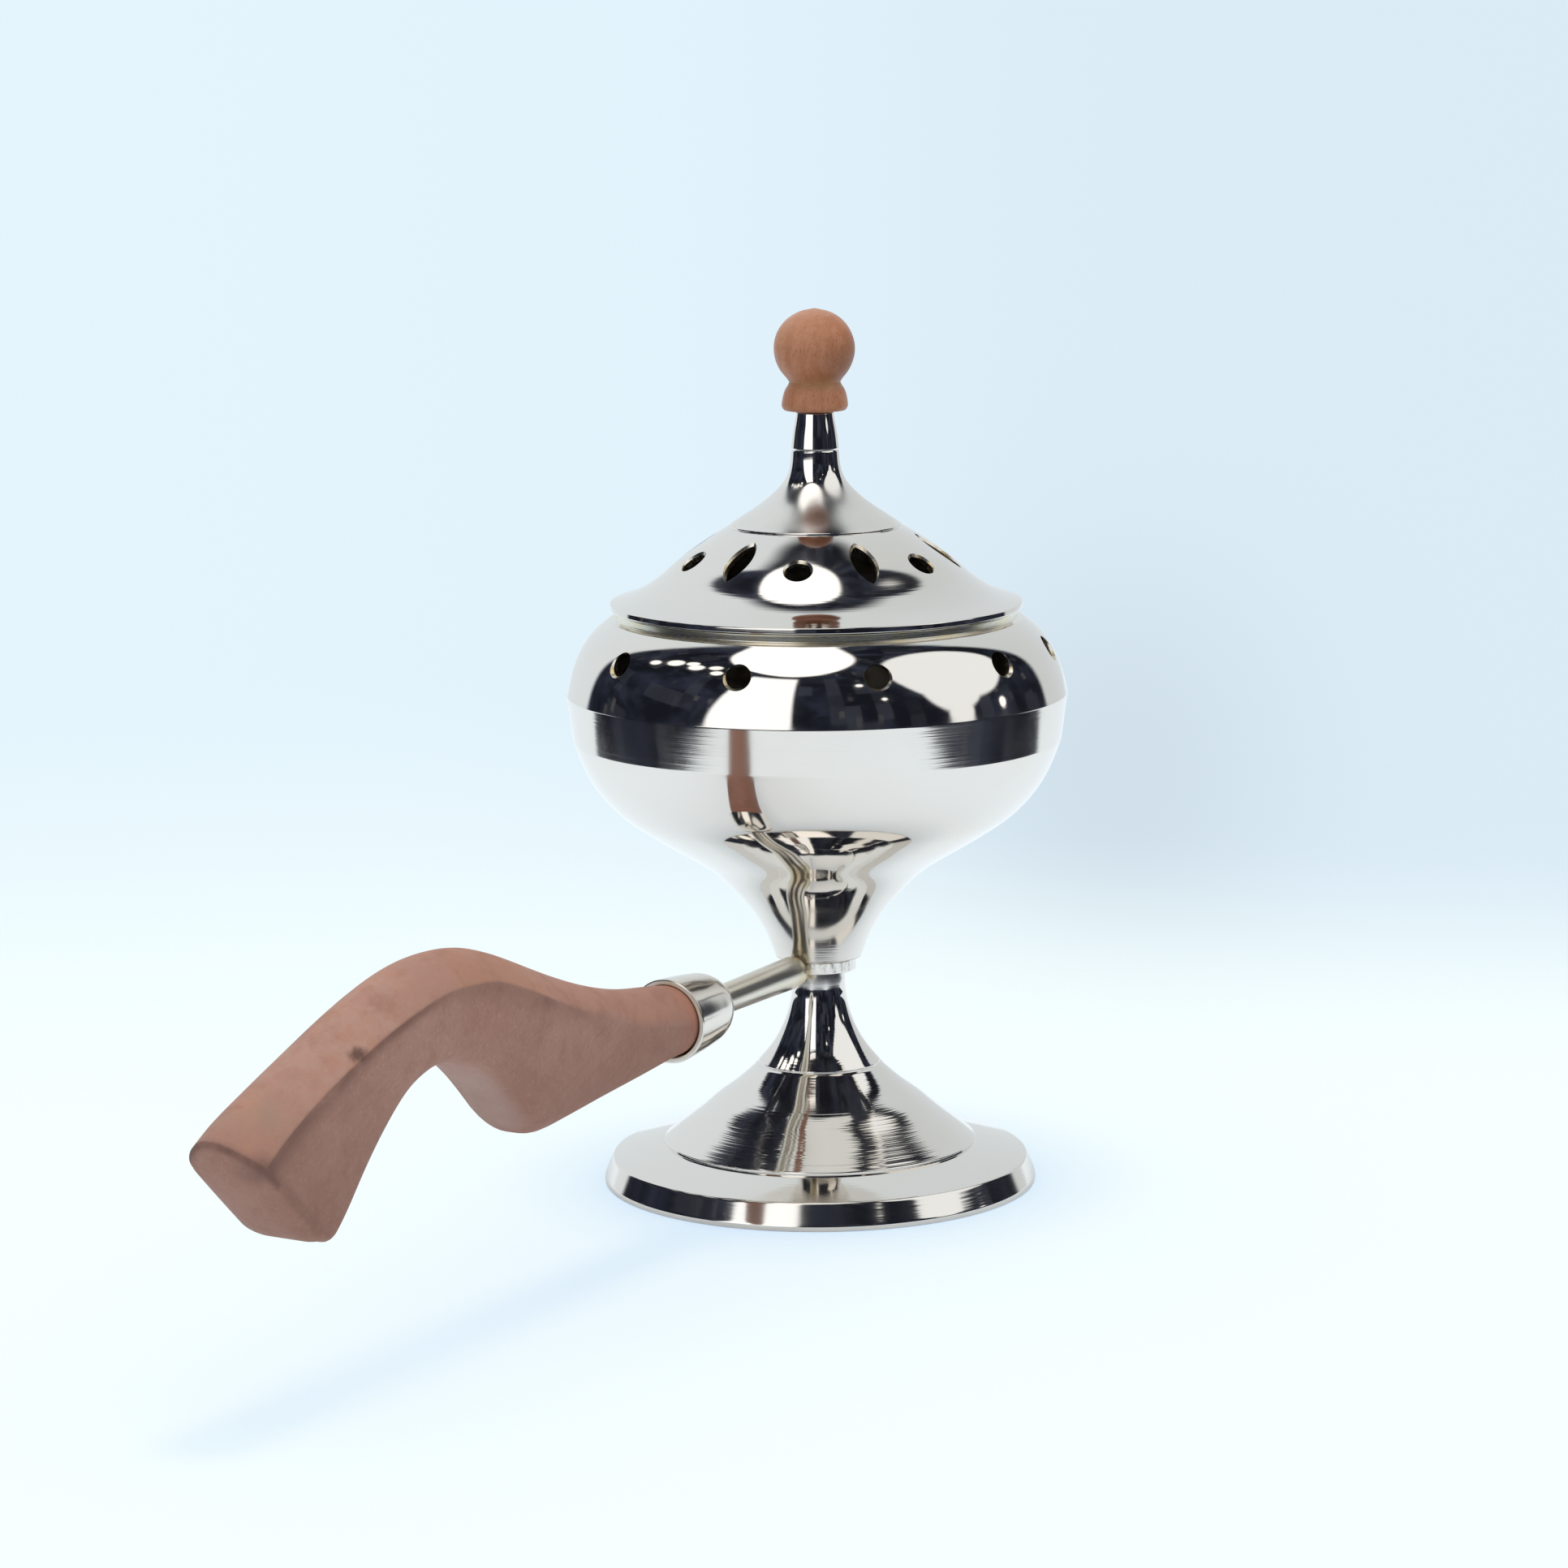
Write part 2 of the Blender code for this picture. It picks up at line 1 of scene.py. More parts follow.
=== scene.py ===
"""Looks of the standing hand censer: fine turned metal, carved wood, a pale
studio floor and soft light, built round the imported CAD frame.

Pieces are drawn in millimetres round the stem axis, as the CAD is, and put in
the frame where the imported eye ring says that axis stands.
"""
import math

import bmesh
import bpy
import numpy as np
from mathutils import Matrix, Vector


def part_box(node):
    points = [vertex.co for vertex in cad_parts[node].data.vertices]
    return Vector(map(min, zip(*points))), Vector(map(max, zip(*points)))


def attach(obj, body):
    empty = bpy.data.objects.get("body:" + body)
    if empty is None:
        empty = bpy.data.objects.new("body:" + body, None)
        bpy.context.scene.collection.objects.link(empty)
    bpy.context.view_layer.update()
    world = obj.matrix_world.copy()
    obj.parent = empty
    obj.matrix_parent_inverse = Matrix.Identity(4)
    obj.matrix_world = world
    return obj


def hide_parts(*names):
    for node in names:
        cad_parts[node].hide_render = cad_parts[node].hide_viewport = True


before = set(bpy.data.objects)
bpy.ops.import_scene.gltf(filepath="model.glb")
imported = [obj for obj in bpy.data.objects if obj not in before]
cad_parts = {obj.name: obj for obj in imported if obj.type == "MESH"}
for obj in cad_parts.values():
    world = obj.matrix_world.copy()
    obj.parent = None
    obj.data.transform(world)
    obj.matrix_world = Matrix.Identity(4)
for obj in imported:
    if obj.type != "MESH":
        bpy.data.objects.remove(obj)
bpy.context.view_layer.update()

_lo, _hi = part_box("eye_ring")
STEM = Vector(((_lo.x + _hi.x) / 2, (_lo.y + _hi.y) / 2, 0.0))
MM = 0.001
AWAY = math.radians(210.0)                    # the camera stands this way round
TO_CAM = (math.cos(AWAY), math.sin(AWAY))
RIGHT = (-math.sin(AWAY), math.cos(AWAY))      # the viewer's right
scene = bpy.context.scene
LOOKS = bpy.data.collections.new("looks")
scene.collection.children.link(LOOKS)


# =============================================================== profile curves
def spline(points, per_mm=6.0):
    """Centripetal Catmull-Rom curve through the points."""
    p = [np.array(q[:2], float) for q in points]
    if len(p) == 2:
        n = max(2, int(np.linalg.norm(p[1] - p[0]) * per_mm) + 1)
        t = np.linspace(0.0, 1.0, n)[:, None]
        return p[0] * (1 - t) + p[1] * t
    p = [2 * p[0] - p[1]] + p + [2 * p[-1] - p[-2]]
    out = []
    for i in range(1, len(p) - 2):
        p0, p1, p2, p3 = p[i - 1:i + 3]
        t0 = 0.0
        t1 = t0 + np.linalg.norm(p1 - p0) ** 0.5
        t2 = t1 + np.linalg.norm(p2 - p1) ** 0.5
        t3 = t2 + np.linalg.norm(p3 - p2) ** 0.5
        n = max(3, int(np.linalg.norm(p2 - p1) * per_mm) + 1)
        t = np.linspace(t1, t2, n)[:, None]
        if i < len(p) - 3:
            t = t[:-1]
        a1 = (t1 - t) / (t1 - t0) * p0 + (t - t0) / (t1 - t0) * p1
        a2 = (t2 - t) / (t2 - t1) * p1 + (t - t1) / (t2 - t1) * p2
        a3 = (t3 - t) / (t3 - t2) * p2 + (t - t2) / (t3 - t2) * p3
        b1 = (t2 - t) / (t2 - t0) * a1 + (t - t0) / (t2 - t0) * a2
        b2 = (t3 - t) / (t3 - t1) * a2 + (t - t1) / (t3 - t1) * a3
        out.append((t2 - t) / (t2 - t1) * b1 + (t - t1) / (t2 - t1) * b2)
    return np.concatenate(out)


def lengths(p):
    return np.concatenate([[0.0], np.cumsum(np.linalg.norm(np.diff(p, axis=0), axis=1))])


def resample(p, count):
    s = lengths(p)
    t = np.linspace(0.0, s[-1], count)
    return np.stack([np.interp(t, s, p[:, k]) for k in range(p.shape[1])], axis=1)


def fair(p, sigma, step=0.2):
    """Evens out the small slope steps of a given curve and keeps its ends."""
    total = lengths(p)[-1]
    n = max(8, int(total / step) + 1)
    q = resample(p, n)
    h = total / (n - 1)
    m = min(n - 1, int(3 * sigma / h))
    if m < 1:
        return q
    k = np.exp(-0.5 * (np.arange(-m, m + 1) * h / sigma) ** 2)
    k /= k.sum()
    pad = np.concatenate([2 * q[0] - q[m:0:-1], q, 2 * q[-1] - q[-2:-m - 2:-1]])
    return np.stack([np.convolve(pad[:, c], k, mode="valid") for c in range(2)], axis=1)


def turned_line(points, step=0.8, sigma=1.2, fillet=0.15, close=True):
    """A turned profile.  A point with a third value is a sharp turned edge, and
    that value is its small rounding; runs between edges are faired curves."""
    pts = list(points)
    corner = [i for i, q in enumerate(pts) if len(q) > 2]
    runs = []
    if close:
        pts = pts + [pts[0]]
        if len(pts[0]) < 3:
            raise ValueError("a closed profile starts on an edge")
        corner = [i for i, q in enumerate(pts) if len(q) > 2]
    else:
        corner = sorted(set([0] + corner + [len(pts) - 1]))
    for a, b in zip(corner[:-1], corner[1:]):
        run = spline(pts[a:b + 1])
        if b - a > 1:
            run = fair(run, sigma)
        n = max(2, int(lengths(run)[-1] / step) + 1)
        runs.append(resample(run, n))
    radius = [pts[i][2] if len(pts[i]) > 2 else fillet for i in corner]
    out = []
    count = len(runs)
    for j, run in enumerate(runs):
        s = lengths(run)
        total = s[-1]
        f0 = min(radius[j], total * 0.45)
        f1 = min(radius[j + 1], total * 0.45)
        if not close and j == 0:
            f0 = 0.0
        if not close and j == count - 1:
            f1 = 0.0
        keep = sorted(set([f0, min(f0 * 1.6, total * 0.5)]
                          + [x for x in s if f0 * 1.7 + 0.02 < x < total - f1 * 1.7 - 0.02]
                          + [max(total - f1 * 1.6, total * 0.5), total - f1]))
        body = [tuple(np.interp(x, s, run[:, k]) for k in range(2)) for x in keep]
        out += body
        if close or j < count - 1:
            nxt = runs[(j + 1) % count]
            ns = lengths(nxt)
            g0 = min(radius[j + 1], ns[-1] * 0.45)
            a = np.array(body[-1])
            c = run[-1]
            b = np.array([np.interp(g0, ns, nxt[:, k]) for k in range(2)])
            for t in (0.25, 0.5, 0.75):
                out.append(tuple((1 - t) ** 2 * a + 2 * t * (1 - t) * c + t * t * b))
    clean = [out[0]]
    for q in out[1:]:
        if math.hypot(q[0] - clean[-1][0], q[1] - clean[-1][1]) > 0.004:
            clean.append(q)
    return clean


def offset_line(p, t):
    """The wall's other side: the line moved t to the left of its direction."""
    p = np.array(p, float)
    d = np.gradient(p, axis=0)
    d /= np.linalg.norm(d, axis=1)[:, None]
    return np.stack([p[:, 0] - d[:, 1] * t, p[:, 1] + d[:, 0] * t], axis=1)


# ================================================================ mesh building
def new_piece(name, verts, faces, mats, around=None, smooth=True):
    mesh = bpy.data.meshes.new(name)
    mesh.from_pydata([tuple(v) for v in verts], [], [tuple(f) for f in faces])
    mesh.validate()
    bm = bmesh.new()
    bm.from_mesh(mesh)
    bmesh.ops.recalc_face_normals(bm, faces=bm.faces)
    bm.to_mesh(mesh)
    bm.free()
    if smooth:
        mesh.shade_smooth()
    if around is not None and len(around) == len(mesh.vertices):
        at = mesh.attributes.new("around", "FLOAT_VECTOR", "POINT")
        at.data.foreach_set("vector", np.asarray(around, np.float32).ravel())
    for m in mats:
        mesh.materials.append(m)
    ob = bpy.data.objects.new(name, mesh)
    LOOKS.objects.link(ob)
    return ob


def place_mm(v):
    """Millimetres round the stem axis to the frame's metres."""
    return np.asarray(v, float) * MM + np.array(STEM)[None, :]


def handle_frame():
    """Axis line of the handle: root, along, across (towards -Y) and up."""
    a = math.radians(0.9)
    along = np.array([-math.cos(a), 0.0, -math.sin(a)])
    up = np.array([-math.sin(a), 0.0, math.cos(a)])
    return np.array([0.0, 0.0, 44.5]), along, np.array([0.0, -1.0, 0.0]), up


def revolve(name, line, segs, mats, warp=None, along_handle=False, sharp=None):
    """Turn a profile.  It closes on itself unless it starts and ends on the axis."""
    n = len(line)
    on_axis = line[0][0] < 1e-6 and line[-1][0] < 1e-6
    theta = np.arange(segs) * math.tau / segs
    cs, sn = np.cos(theta), np.sin(theta)
    arc = lengths(np.array(line))
    verts, around, first = [], [], []
    for i, (r, z) in enumerate(line):
        first.append(len(verts))
        if on_axis and i in (0, n - 1):
            verts.append((0.0, 0.0, z))
            around.append((0.0, 0.0, arc[i]))
            continue
        for k in range(segs):
            rr, zz = (r, z) if warp is None else warp(r, z, theta[k])
            verts.append((rr * cs[k], rr * sn[k], zz))
            around.append((cs[k], sn[k], arc[i]))
    faces = []
    pairs = list(zip(range(n - 1), range(1, n)))
    if not on_axis:
        pairs.append((n - 1, 0))
    for a, b in pairs:
        fa, fb = first[a], first[b]
        for k in range(segs):
            j = (k + 1) % segs
            if on_axis and a == 0:
                faces.append((fa, fb + k, fb + j))
            elif on_axis and b == n - 1:
                faces.append((fa + k, fb, fa + j))
            else:
                faces.append((fa + k, fb + k, fb + j, fa + j))
    v = np.array(verts)
    if along_handle:
        root, along, across, up = handle_frame()
        v = root + v[:, 2:3] * along + v[:, 0:1] * up + v[:, 1:2] * across
    ob = new_piece(name, place_mm(v), faces, mats, around)
    if sharp:
        ob.data.set_sharp_from_angle(angle=math.radians(sharp))
    return ob


def drop(ob):
    mesh = ob.data
    bpy.data.objects.remove(ob, do_unlink=True)
    bpy.data.meshes.remove(mesh)


def carve(ob, cutter):
    """Cut and apply, so the piece keeps a plain mesh."""
    mod = ob.modifiers.new("cut", "BOOLEAN")
    mod.operation = "DIFFERENCE"
    mod.solver = "EXACT"
    mod.object = cutter
    bpy.context.view_layer.update()
    deps = bpy.context.evaluated_depsgraph_get()
    mesh = bpy.data.meshes.new_from_object(ob.evaluated_get(deps))
    old = ob.data
    ob.modifiers.clear()
    ob.data = mesh
    mesh.name = old.name
    bpy.data.meshes.remove(old)
    drop(cutter)


def nearest_on_line(rz, line):
    """Nearest point of a closed profile: its arc length and outward normal."""
    p = np.array(line, float)
    q = np.roll(p, -1, axis=0)
    seg = q - p
    ln = np.maximum(np.linalg.norm(seg, axis=1), 1e-9)
    s0 = np.concatenate([[0.0], np.cumsum(ln)])[:-1]
    area = 0.5 * np.sum(p[:, 0] * q[:, 1] - q[:, 0] * p[:, 1])
    side = 1.0 if area > 0 else -1.0
    sn = np.stack([seg[:, 1], -seg[:, 0]], axis=1) / ln[:, None] * side
    vn = sn + np.roll(sn, 1, axis=0)
    vn /= np.maximum(np.linalg.norm(vn, axis=1), 1e-9)[:, None]
    arc = np.zeros(len(rz))
    nor = np.zeros((len(rz), 2))
    for c in range(0, len(rz), 4000):
        x = rz[c:c + 4000]
        t = np.clip(((x[:, None, :] - p) * seg).sum(2) / (ln ** 2), 0, 1)
        d = np.linalg.norm(p + t[..., None] * seg - x[:, None, :], axis=2)
        k = d.argmin(1)
        tt = t[np.arange(len(x)), k]
        arc[c:c + 4000] = s0[k] + tt * ln[k]
        m = vn[k] * (1 - tt[:, None]) + np.roll(vn, -1, axis=0)[k] * tt[:, None]
        nor[c:c + 4000] = m / np.maximum(np.linalg.norm(m, axis=1), 1e-9)[:, None]
    return arc, nor


def dress_cut(ob, line, wall_slot=1, regions=()):
    """After holes are cut in a turned piece: its turned faces keep the smooth
    turned normals, and the drilled walls get their own material.  regions are
    (start, end, slot) stretches of the profile with a material of their own."""
    mesh = ob.data
    nv = len(mesh.vertices)
    co = np.zeros(nv * 3)
    mesh.vertices.foreach_get("co", co)
    co = (co.reshape(-1, 3) - np.array(STEM)) / MM
    r = np.hypot(co[:, 0], co[:, 1])
    cosv, sinv = co[:, 0] / np.maximum(r, 1e-6), co[:, 1] / np.maximum(r, 1e-6)
    arc, nor = nearest_on_line(np.stack([r, co[:, 2]], axis=1), line)
    for old in [a.name for a in mesh.attributes if a.name == "around"]:
        mesh.attributes.remove(mesh.attributes[old])
    at = mesh.attributes.new("around", "FLOAT_VECTOR", "POINT")
    at.data.foreach_set("vector", np.stack([cosv, sinv, arc], axis=1).astype(np.float32).ravel())
    vnor = np.stack([nor[:, 0] * cosv, nor[:, 0] * sinv, nor[:, 1]], axis=1)
    mesh.shade_smooth()
    mesh.set_sharp_from_angle(angle=math.radians(32))
    nf = len(mesh.polygons)
    fn = np.zeros(nf * 3)
    mesh.polygons.foreach_get("normal", fn)
    fn = fn.reshape(-1, 3)
    start = np.zeros(nf, int)
    total = np.zeros(nf, int)
    mesh.polygons.foreach_get("loop_start", start)
    mesh.polygons.foreach_get("loop_total", total)
    lv = np.zeros(len(mesh.loops), int)
    mesh.loops.foreach_get("vertex_index", lv)
    face_of = np.repeat(np.arange(nf), total)
    agree = np.add.reduceat((vnor[lv] * fn[face_of]).sum(1), start) / total
    # a wall face's centre also lies off the turned surface
    mid = np.add.reduceat(co[lv], start, axis=0) / total[:, None]
    mr = np.hypot(mid[:, 0], mid[:, 1])
    p = np.array(line, float)
    q = np.roll(p, -1, axis=0)
    seg = q - p
    ln2 = np.maximum((seg ** 2).sum(1), 1e-12)
    off = np.zeros(nf)
    for c in range(0, nf, 4000):
        x = np.stack([mr[c:c + 4000], mid[c:c + 4000, 2]], axis=1)
        t = np.clip(((x[:, None, :] - p) * seg).sum(2) / ln2, 0, 1)
        off[c:c + 4000] = np.linalg.norm(p + t[..., None] * seg - x[:, None, :], axis=2).min(1)
    wall = (agree < 0.9) | (off > 0.06)
    # small faces of the turned edges' roundings are not walls
    wall &= ~((off < 0.02) & (agree > 0.55))
    cn = np.zeros(len(mesh.loops) * 3)
    mesh.corner_normals.foreach_get("vector", cn)
    cn = cn.reshape(-1, 3)
    keep = wall[face_of]
    cn[~keep] = vnor[lv][~keep]
    mesh.normals_split_custom_set([tuple(v) for v in cn])
    slots = wall * wall_slot
    face_arc = np.add.reduceat(arc[lv], start) / total
    for a, b, region_slot in regions:
        lo, hi = arc_at(line, a), arc_at(line, b)
        slots = np.where(~wall & (face_arc > lo) & (face_arc < hi), region_slot, slots)
    mesh.polygons.foreach_set("material_index", slots.astype(np.int32))
    mesh.update()


def arc_at(line, point):
    """Arc length of the profile at its place nearest to a point."""
    arc, nor = nearest_on_line(np.array([point], float), line)
    return float(arc[0])


def tint_rings(ob, line, segs, start, end, slot):
    """Give the rings of faces between two places of the profile their own
    material; used before anything is cut."""
    arc = lengths(np.array(line))
    lo, hi = arc_at(line, start), arc_at(line, end)
    for i in range(len(line) - 1):
        if lo - 0.01 <= arc[i] and arc[i + 1] <= hi + 0.01:
            for k in range(segs):
                ob.data.polygons[i * segs + k].material_index = slot


def frame_at(centre, normal, angle_deg):
    """Matrix whose Z is the outward normal on a ring round the stem, X round it."""
    a = math.radians(angle_deg)
    n = Vector((normal[0] * math.cos(a), normal[0] * math.sin(a), normal[1])).normalized()
    tangent = Vector((-math.sin(a), math.cos(a), 0.0))
    slope = n.cross(tangent)
    m = Matrix((tangent, slope, n)).transposed().to_4x4()
    m.translation = Vector((centre[0] * math.cos(a), centre[0] * math.sin(a), centre[1]))
    return m


def loft_rings(rings):
    """Closed solid through equal rings of points."""
    verts, faces = [], []
    n = len(rings[0])
    for ring in rings:
        verts += [tuple(q) for q in ring]
    for i in range(len(rings) - 1):
        for k in range(n):
            j = (k + 1) % n
            faces.append((i * n + k, i * n + j, (i + 1) * n + j, (i + 1) * n + k))
    faces.append(tuple(range(n - 1, -1, -1)))
    faces.append(tuple((len(rings) - 1) * n + k for k in range(n)))
    return verts, faces


def cutter_object(name, solids):
    verts, faces = [], []
    for v, f in solids:
        base = len(verts)
        verts += v
        faces += [tuple(i + base for i in q) for q in f]
    return new_piece(name, place_mm(verts), faces, [], smooth=False)


def drill(centre, normal, angle, radius, lip, depth, segs=56):
    """A bored hole with a small countersink at the surface."""
    m = frame_at(centre, normal, angle)
    stations = [(-depth, radius), (-lip * 0.95, radius), (lip * 0.25, radius + lip * 1.2),
                (depth * 0.6, radius + lip * 1.2)]
    rings = []
    for t, r in stations:
        rings.append([tuple(m @ Vector((r * math.cos(a), r * math.sin(a), t)))
                      for a in [math.tau * k / segs for k in range(segs)]])
    return loft_rings(rings)


def leaf_outline(length, width, grow, steps=26):
    hl, hw = length / 2, width / 2
    radius = (hl ** 2 + hw ** 2) / (2 * hw)
    drop_c = radius - hw
    rr = radius + grow
    tip = math.sqrt(rr * rr - drop_c * drop_c)
    span = math.asin(tip / rr)
    pts = []
    for side in (1, -1):
        for i in range(steps):
            a = side * (-span + 2 * span * i / steps)
            pts.append((side * (rr * math.cos(a) - drop_c), rr * math.sin(a)))
    # the saw leaves the tips a little round
    out = []
    for x, y in pts:
        f = 1.0 - 0.045 * max(0.0, abs(y) / tip - 0.8) / 0.2
        out.append((x, y * f))
    return out


def leaf_cut(centre, normal, angle, length, width, lip, depth):
    m = frame_at(centre, normal, angle)
    rings = []
    for t, g in [(-depth, 0.0), (-lip * 0.95, 0.0), (lip * 0.25, lip * 1.2),
                 (depth * 0.6, lip * 1.2)]:
        rings.append([tuple(m @ Vector((x, y, t))) for x, y in leaf_outline(length, width, g)])
    return loft_rings(rings)


def wobble(*terms):
    """Small smooth irregularity: sum of sines, (size, turns, rate along, phase)."""
    def f(theta, s):
        return sum(a * math.sin(n * theta + k * s + p) for a, n, k, p in terms)
    return f


# ==================================================================== materials
class Sock:
    """An output socket that can be added, multiplied and so on."""

    def __init__(self, g, s):
        self.g, self.s = g, s

    def __add__(self, o):
        return self.g.m("ADD", self, o)

    __radd__ = __add__

    def __sub__(self, o):
        return self.g.m("SUBTRACT", self, o)

    def __rsub__(self, o):
        return self.g.m("SUBTRACT", o, self)

    def __mul__(self, o):
        return self.g.m("MULTIPLY", self, o)

    __rmul__ = __mul__

    def __truediv__(self, o):
        return self.g.m("DIVIDE", self, o)


class Graph:
    def __init__(self, tree):
        self.t = tree
        tree.nodes.clear()

    def node(self, kind, **props):
        n = self.t.nodes.new(kind)
        for k, v in props.items():
            setattr(n, k, v)
        return n

    def put(self, socket, v):
        if isinstance(v, Sock):
            self.t.links.new(v.s, socket)
        elif isinstance(v, (tuple, list)):
            socket.default_value = tuple(v) + (1.0,) * (len(socket.default_value) - len(v))
        else:
            socket.default_value = v

    def m(self, op, *args, clamp=False):
        n = self.node("ShaderNodeMath", operation=op, use_clamp=clamp)
        for i, a in enumerate(args):
            self.put(n.inputs[i], a)
        return Sock(self, n.outputs[0])

    def sat(self, x):
        return self.m("ADD", x, 0.0, clamp=True)

    def vec(self, x, y, z):
        n = self.node("ShaderNodeCombineXYZ")
        for i, a in enumerate((x, y, z)):
            self.put(n.inputs[i], a)
        return Sock(self, n.outputs[0])

    def xyz(self, v):
        n = self.node("ShaderNodeSeparateXYZ")
        self.put(n.inputs[0], v)
        return [Sock(self, n.outputs[i]) for i in range(3)]

    def ramp(self, x, lo, hi, a=0.0, b=1.0):
        n = self.node("ShaderNodeMapRange", interpolation_type="SMOOTHSTEP")
        for i, v in enumerate((x, lo, hi, a, b)):
            self.put(n.inputs[i], v)
        return Sock(self, n.outputs[0])

    def band(self, x, lo, hi, soft):
        return self.ramp(x, lo - soft, lo + soft) * self.ramp(x, hi - soft, hi + soft, 1.0, 0.0)

    def noise(self, v, scale=1.0, detail=3.0, rough=0.55, distort=0.0):
        n = self.node("ShaderNodeTexNoise")
        self.put(n.inputs["Vector"], v)
        n.inputs["Scale"].default_value = scale
        n.inputs["Detail"].default_value = detail
        n.inputs["Roughness"].default_value = rough
        n.inputs["Distortion"].default_value = distort
        return Sock(self, n.outputs[0])

    def voronoi(self, v, scale=1.0, feature="F1"):
        n = self.node("ShaderNodeTexVoronoi", feature=feature)
        self.put(n.inputs["Vector"], v)
        n.inputs["Scale"].default_value = scale
        return Sock(self, n.outputs["Distance"])

    def mix(self, f, a, b):
        n = self.node("ShaderNodeMix", data_type="RGBA")
        self.put(n.inputs[0], f)
        self.put(n.inputs[6], a)
        self.put(n.inputs[7], b)
        return Sock(self, n.outputs[2])

    def attr(self, name, kind="Vector"):
        n = self.node("ShaderNodeAttribute", attribute_name=name)
        return Sock(self, n.outputs[kind])

    def position(self):
        n = self.node("ShaderNodeTexCoord")
        return Sock(self, n.outputs["Object"])

    def bump(self, height, distance, strength=1.0, normal=None):
        n = self.node("ShaderNodeBump")
        n.inputs["Strength"].default_value = strength
        n.inputs["Distance"].default_value = distance
        self.put(n.inputs["Height"], height)
        if normal is not None:
            self.put(n.inputs["Normal"], normal)
        return Sock(self, n.outputs[0])

    def principled(self, **inputs):
        n = self.node("ShaderNodeBsdfPrincipled")
        for k, v in inputs.items():
            self.put(n.inputs[k.replace("_", " ")], v)
        out = self.node("ShaderNodeOutputMaterial")
        self.t.links.new(n.outputs[0], out.inputs["Surface"])
        return n


def material(name):
    mat = bpy.data.materials.new(name)
    mat.use_nodes = True
    return mat, Graph(mat.node_tree)


NICKEL = (0.80, 0.757, 0.708)
NICKEL_WARM = (0.77, 0.70, 0.60)
BRASS = (0.78, 0.64, 0.38)


def nickel(name, rings=1.0, pitch=1.0, ragged=1.0, rough=0.05, warm=0.0, scuff=0.5,
           teeth=(), satin=()):
    """Bright nickel over turned brass: rings left by the lathe tool, the
    polishing wheel's haze, and the warm brass tone where the plate is thin.
    rings scales their depth and pitch their closeness; teeth are (depth, low,
    high) belts in millimetres of height where the tool dug in deeper, and satin
    are belts that the polishing wheel reached less."""
    mat, g = material(name)
    x, y, s = g.xyz(g.attr("around"))
    fine = g.noise(g.vec(x * 0.7, y * 0.7, s * (2.4 * pitch)), 1.0, 3.0, 0.65)
    cut = g.noise(g.vec(x * 2.2, y * 2.2, s * (1.05 * pitch)), 1.0, 2.0, 0.6)
    chatter = g.noise(g.vec(x * 9.0, y * 9.0, s * (3.1 * pitch)), 1.0, 2.0, 0.5)
    slow = g.noise(g.vec(x * 1.2, y * 1.2, s * 0.05), 1.0, 2.0, 0.5)
    height = fine * (0.30 * rings) + cut * (0.7 * rings) + chatter * (0.18 * ragged * rings)
    pos = g.position()
    px, py, pz = g.xyz(pos)
    for depth, low, high in teeth:
        groove = g.noise(g.vec(x * 0.5, y * 0.5, s * 1.55), 1.0, 1.0, 0.5)
        sharp = g.m("ABSOLUTE", groove - 0.5) * 2.0
        height = height + sharp * (g.band(pz * 1000.0, low, high, 1.5) * depth)
    normal = g.bump(height, 0.0000042)
    dust = g.noise(pos, 1500.0, 2.0, 0.6)
    haze = g.noise(pos, 70.0, 3.0, 0.55)
    hair = g.noise(g.vec(x * 1.6, y * 1.6, s * 9.0), 1.0, 2.0, 0.7)
    r = (rough + g.ramp(haze, 0.35, 0.8) * (0.05 * scuff) + g.ramp(hair, 0.5, 0.8) * (0.06 * scuff)
         + g.ramp(dust, 0.64, 0.78) * (0.10 * scuff))
    for more, low, high in satin:
        r = r + g.band(pz * 1000.0, low, high, 1.2) * (g.ramp(haze, 0.25, 0.7) * 0.5 + 0.6) * more
    tone = g.sat(g.ramp(slow, 0.4, 0.72) * 0.30 + g.ramp(hair, 0.52, 0.78) * 0.25 + warm)
    colour = g.mix(tone, NICKEL, NICKEL_WARM)
    g.principled(Base_Color=colour, Metallic=1.0, Roughness=r, Normal=normal)
    return mat


def cut_edge(name):
    """Walls of the drilled and pierced holes: bright nickel over tool marks,
    with the brass showing through in the depth."""
    mat, g = material(name)
    pos = g.position()
    marks = g.noise(pos, 2200.0, 3.0, 0.6)
    patch = g.noise(pos, 420.0, 2.0, 0.5)
    colour = g.mix(g.ramp(patch, 0.42, 0.62), (0.74, 0.69, 0.60), (0.55, 0.43, 0.25))
    g.principled(Base_Color=colour, Metallic=1.0, Roughness=0.16 + patch * 0.18,
                 Normal=g.bump(marks, 0.00003))
    return mat


def satin_inside(name):
    """Inside of the turned shells: left as the tool cut it, dull plate with
    resin bloom on it."""
    mat, g = material(name)
    x, y, s = g.xyz(g.attr("around"))
    line = g.noise(g.vec(x * 0.9, y * 0.9, s * 2.6), 1.0, 3.0, 0.6)
    pos = g.position()
    bloom = g.noise(pos, 140.0, 4.0, 0.6, 0.3)
    colour = g.mix(g.ramp(bloom, 0.40, 0.70), (0.62, 0.57, 0.49), (0.40, 0.33, 0.24))
    g.principled(Base_Color=colour, Metallic=1.0, Roughness=0.36 + bloom * 0.20,
                 Normal=g.bump(line, 0.00002))
    return mat


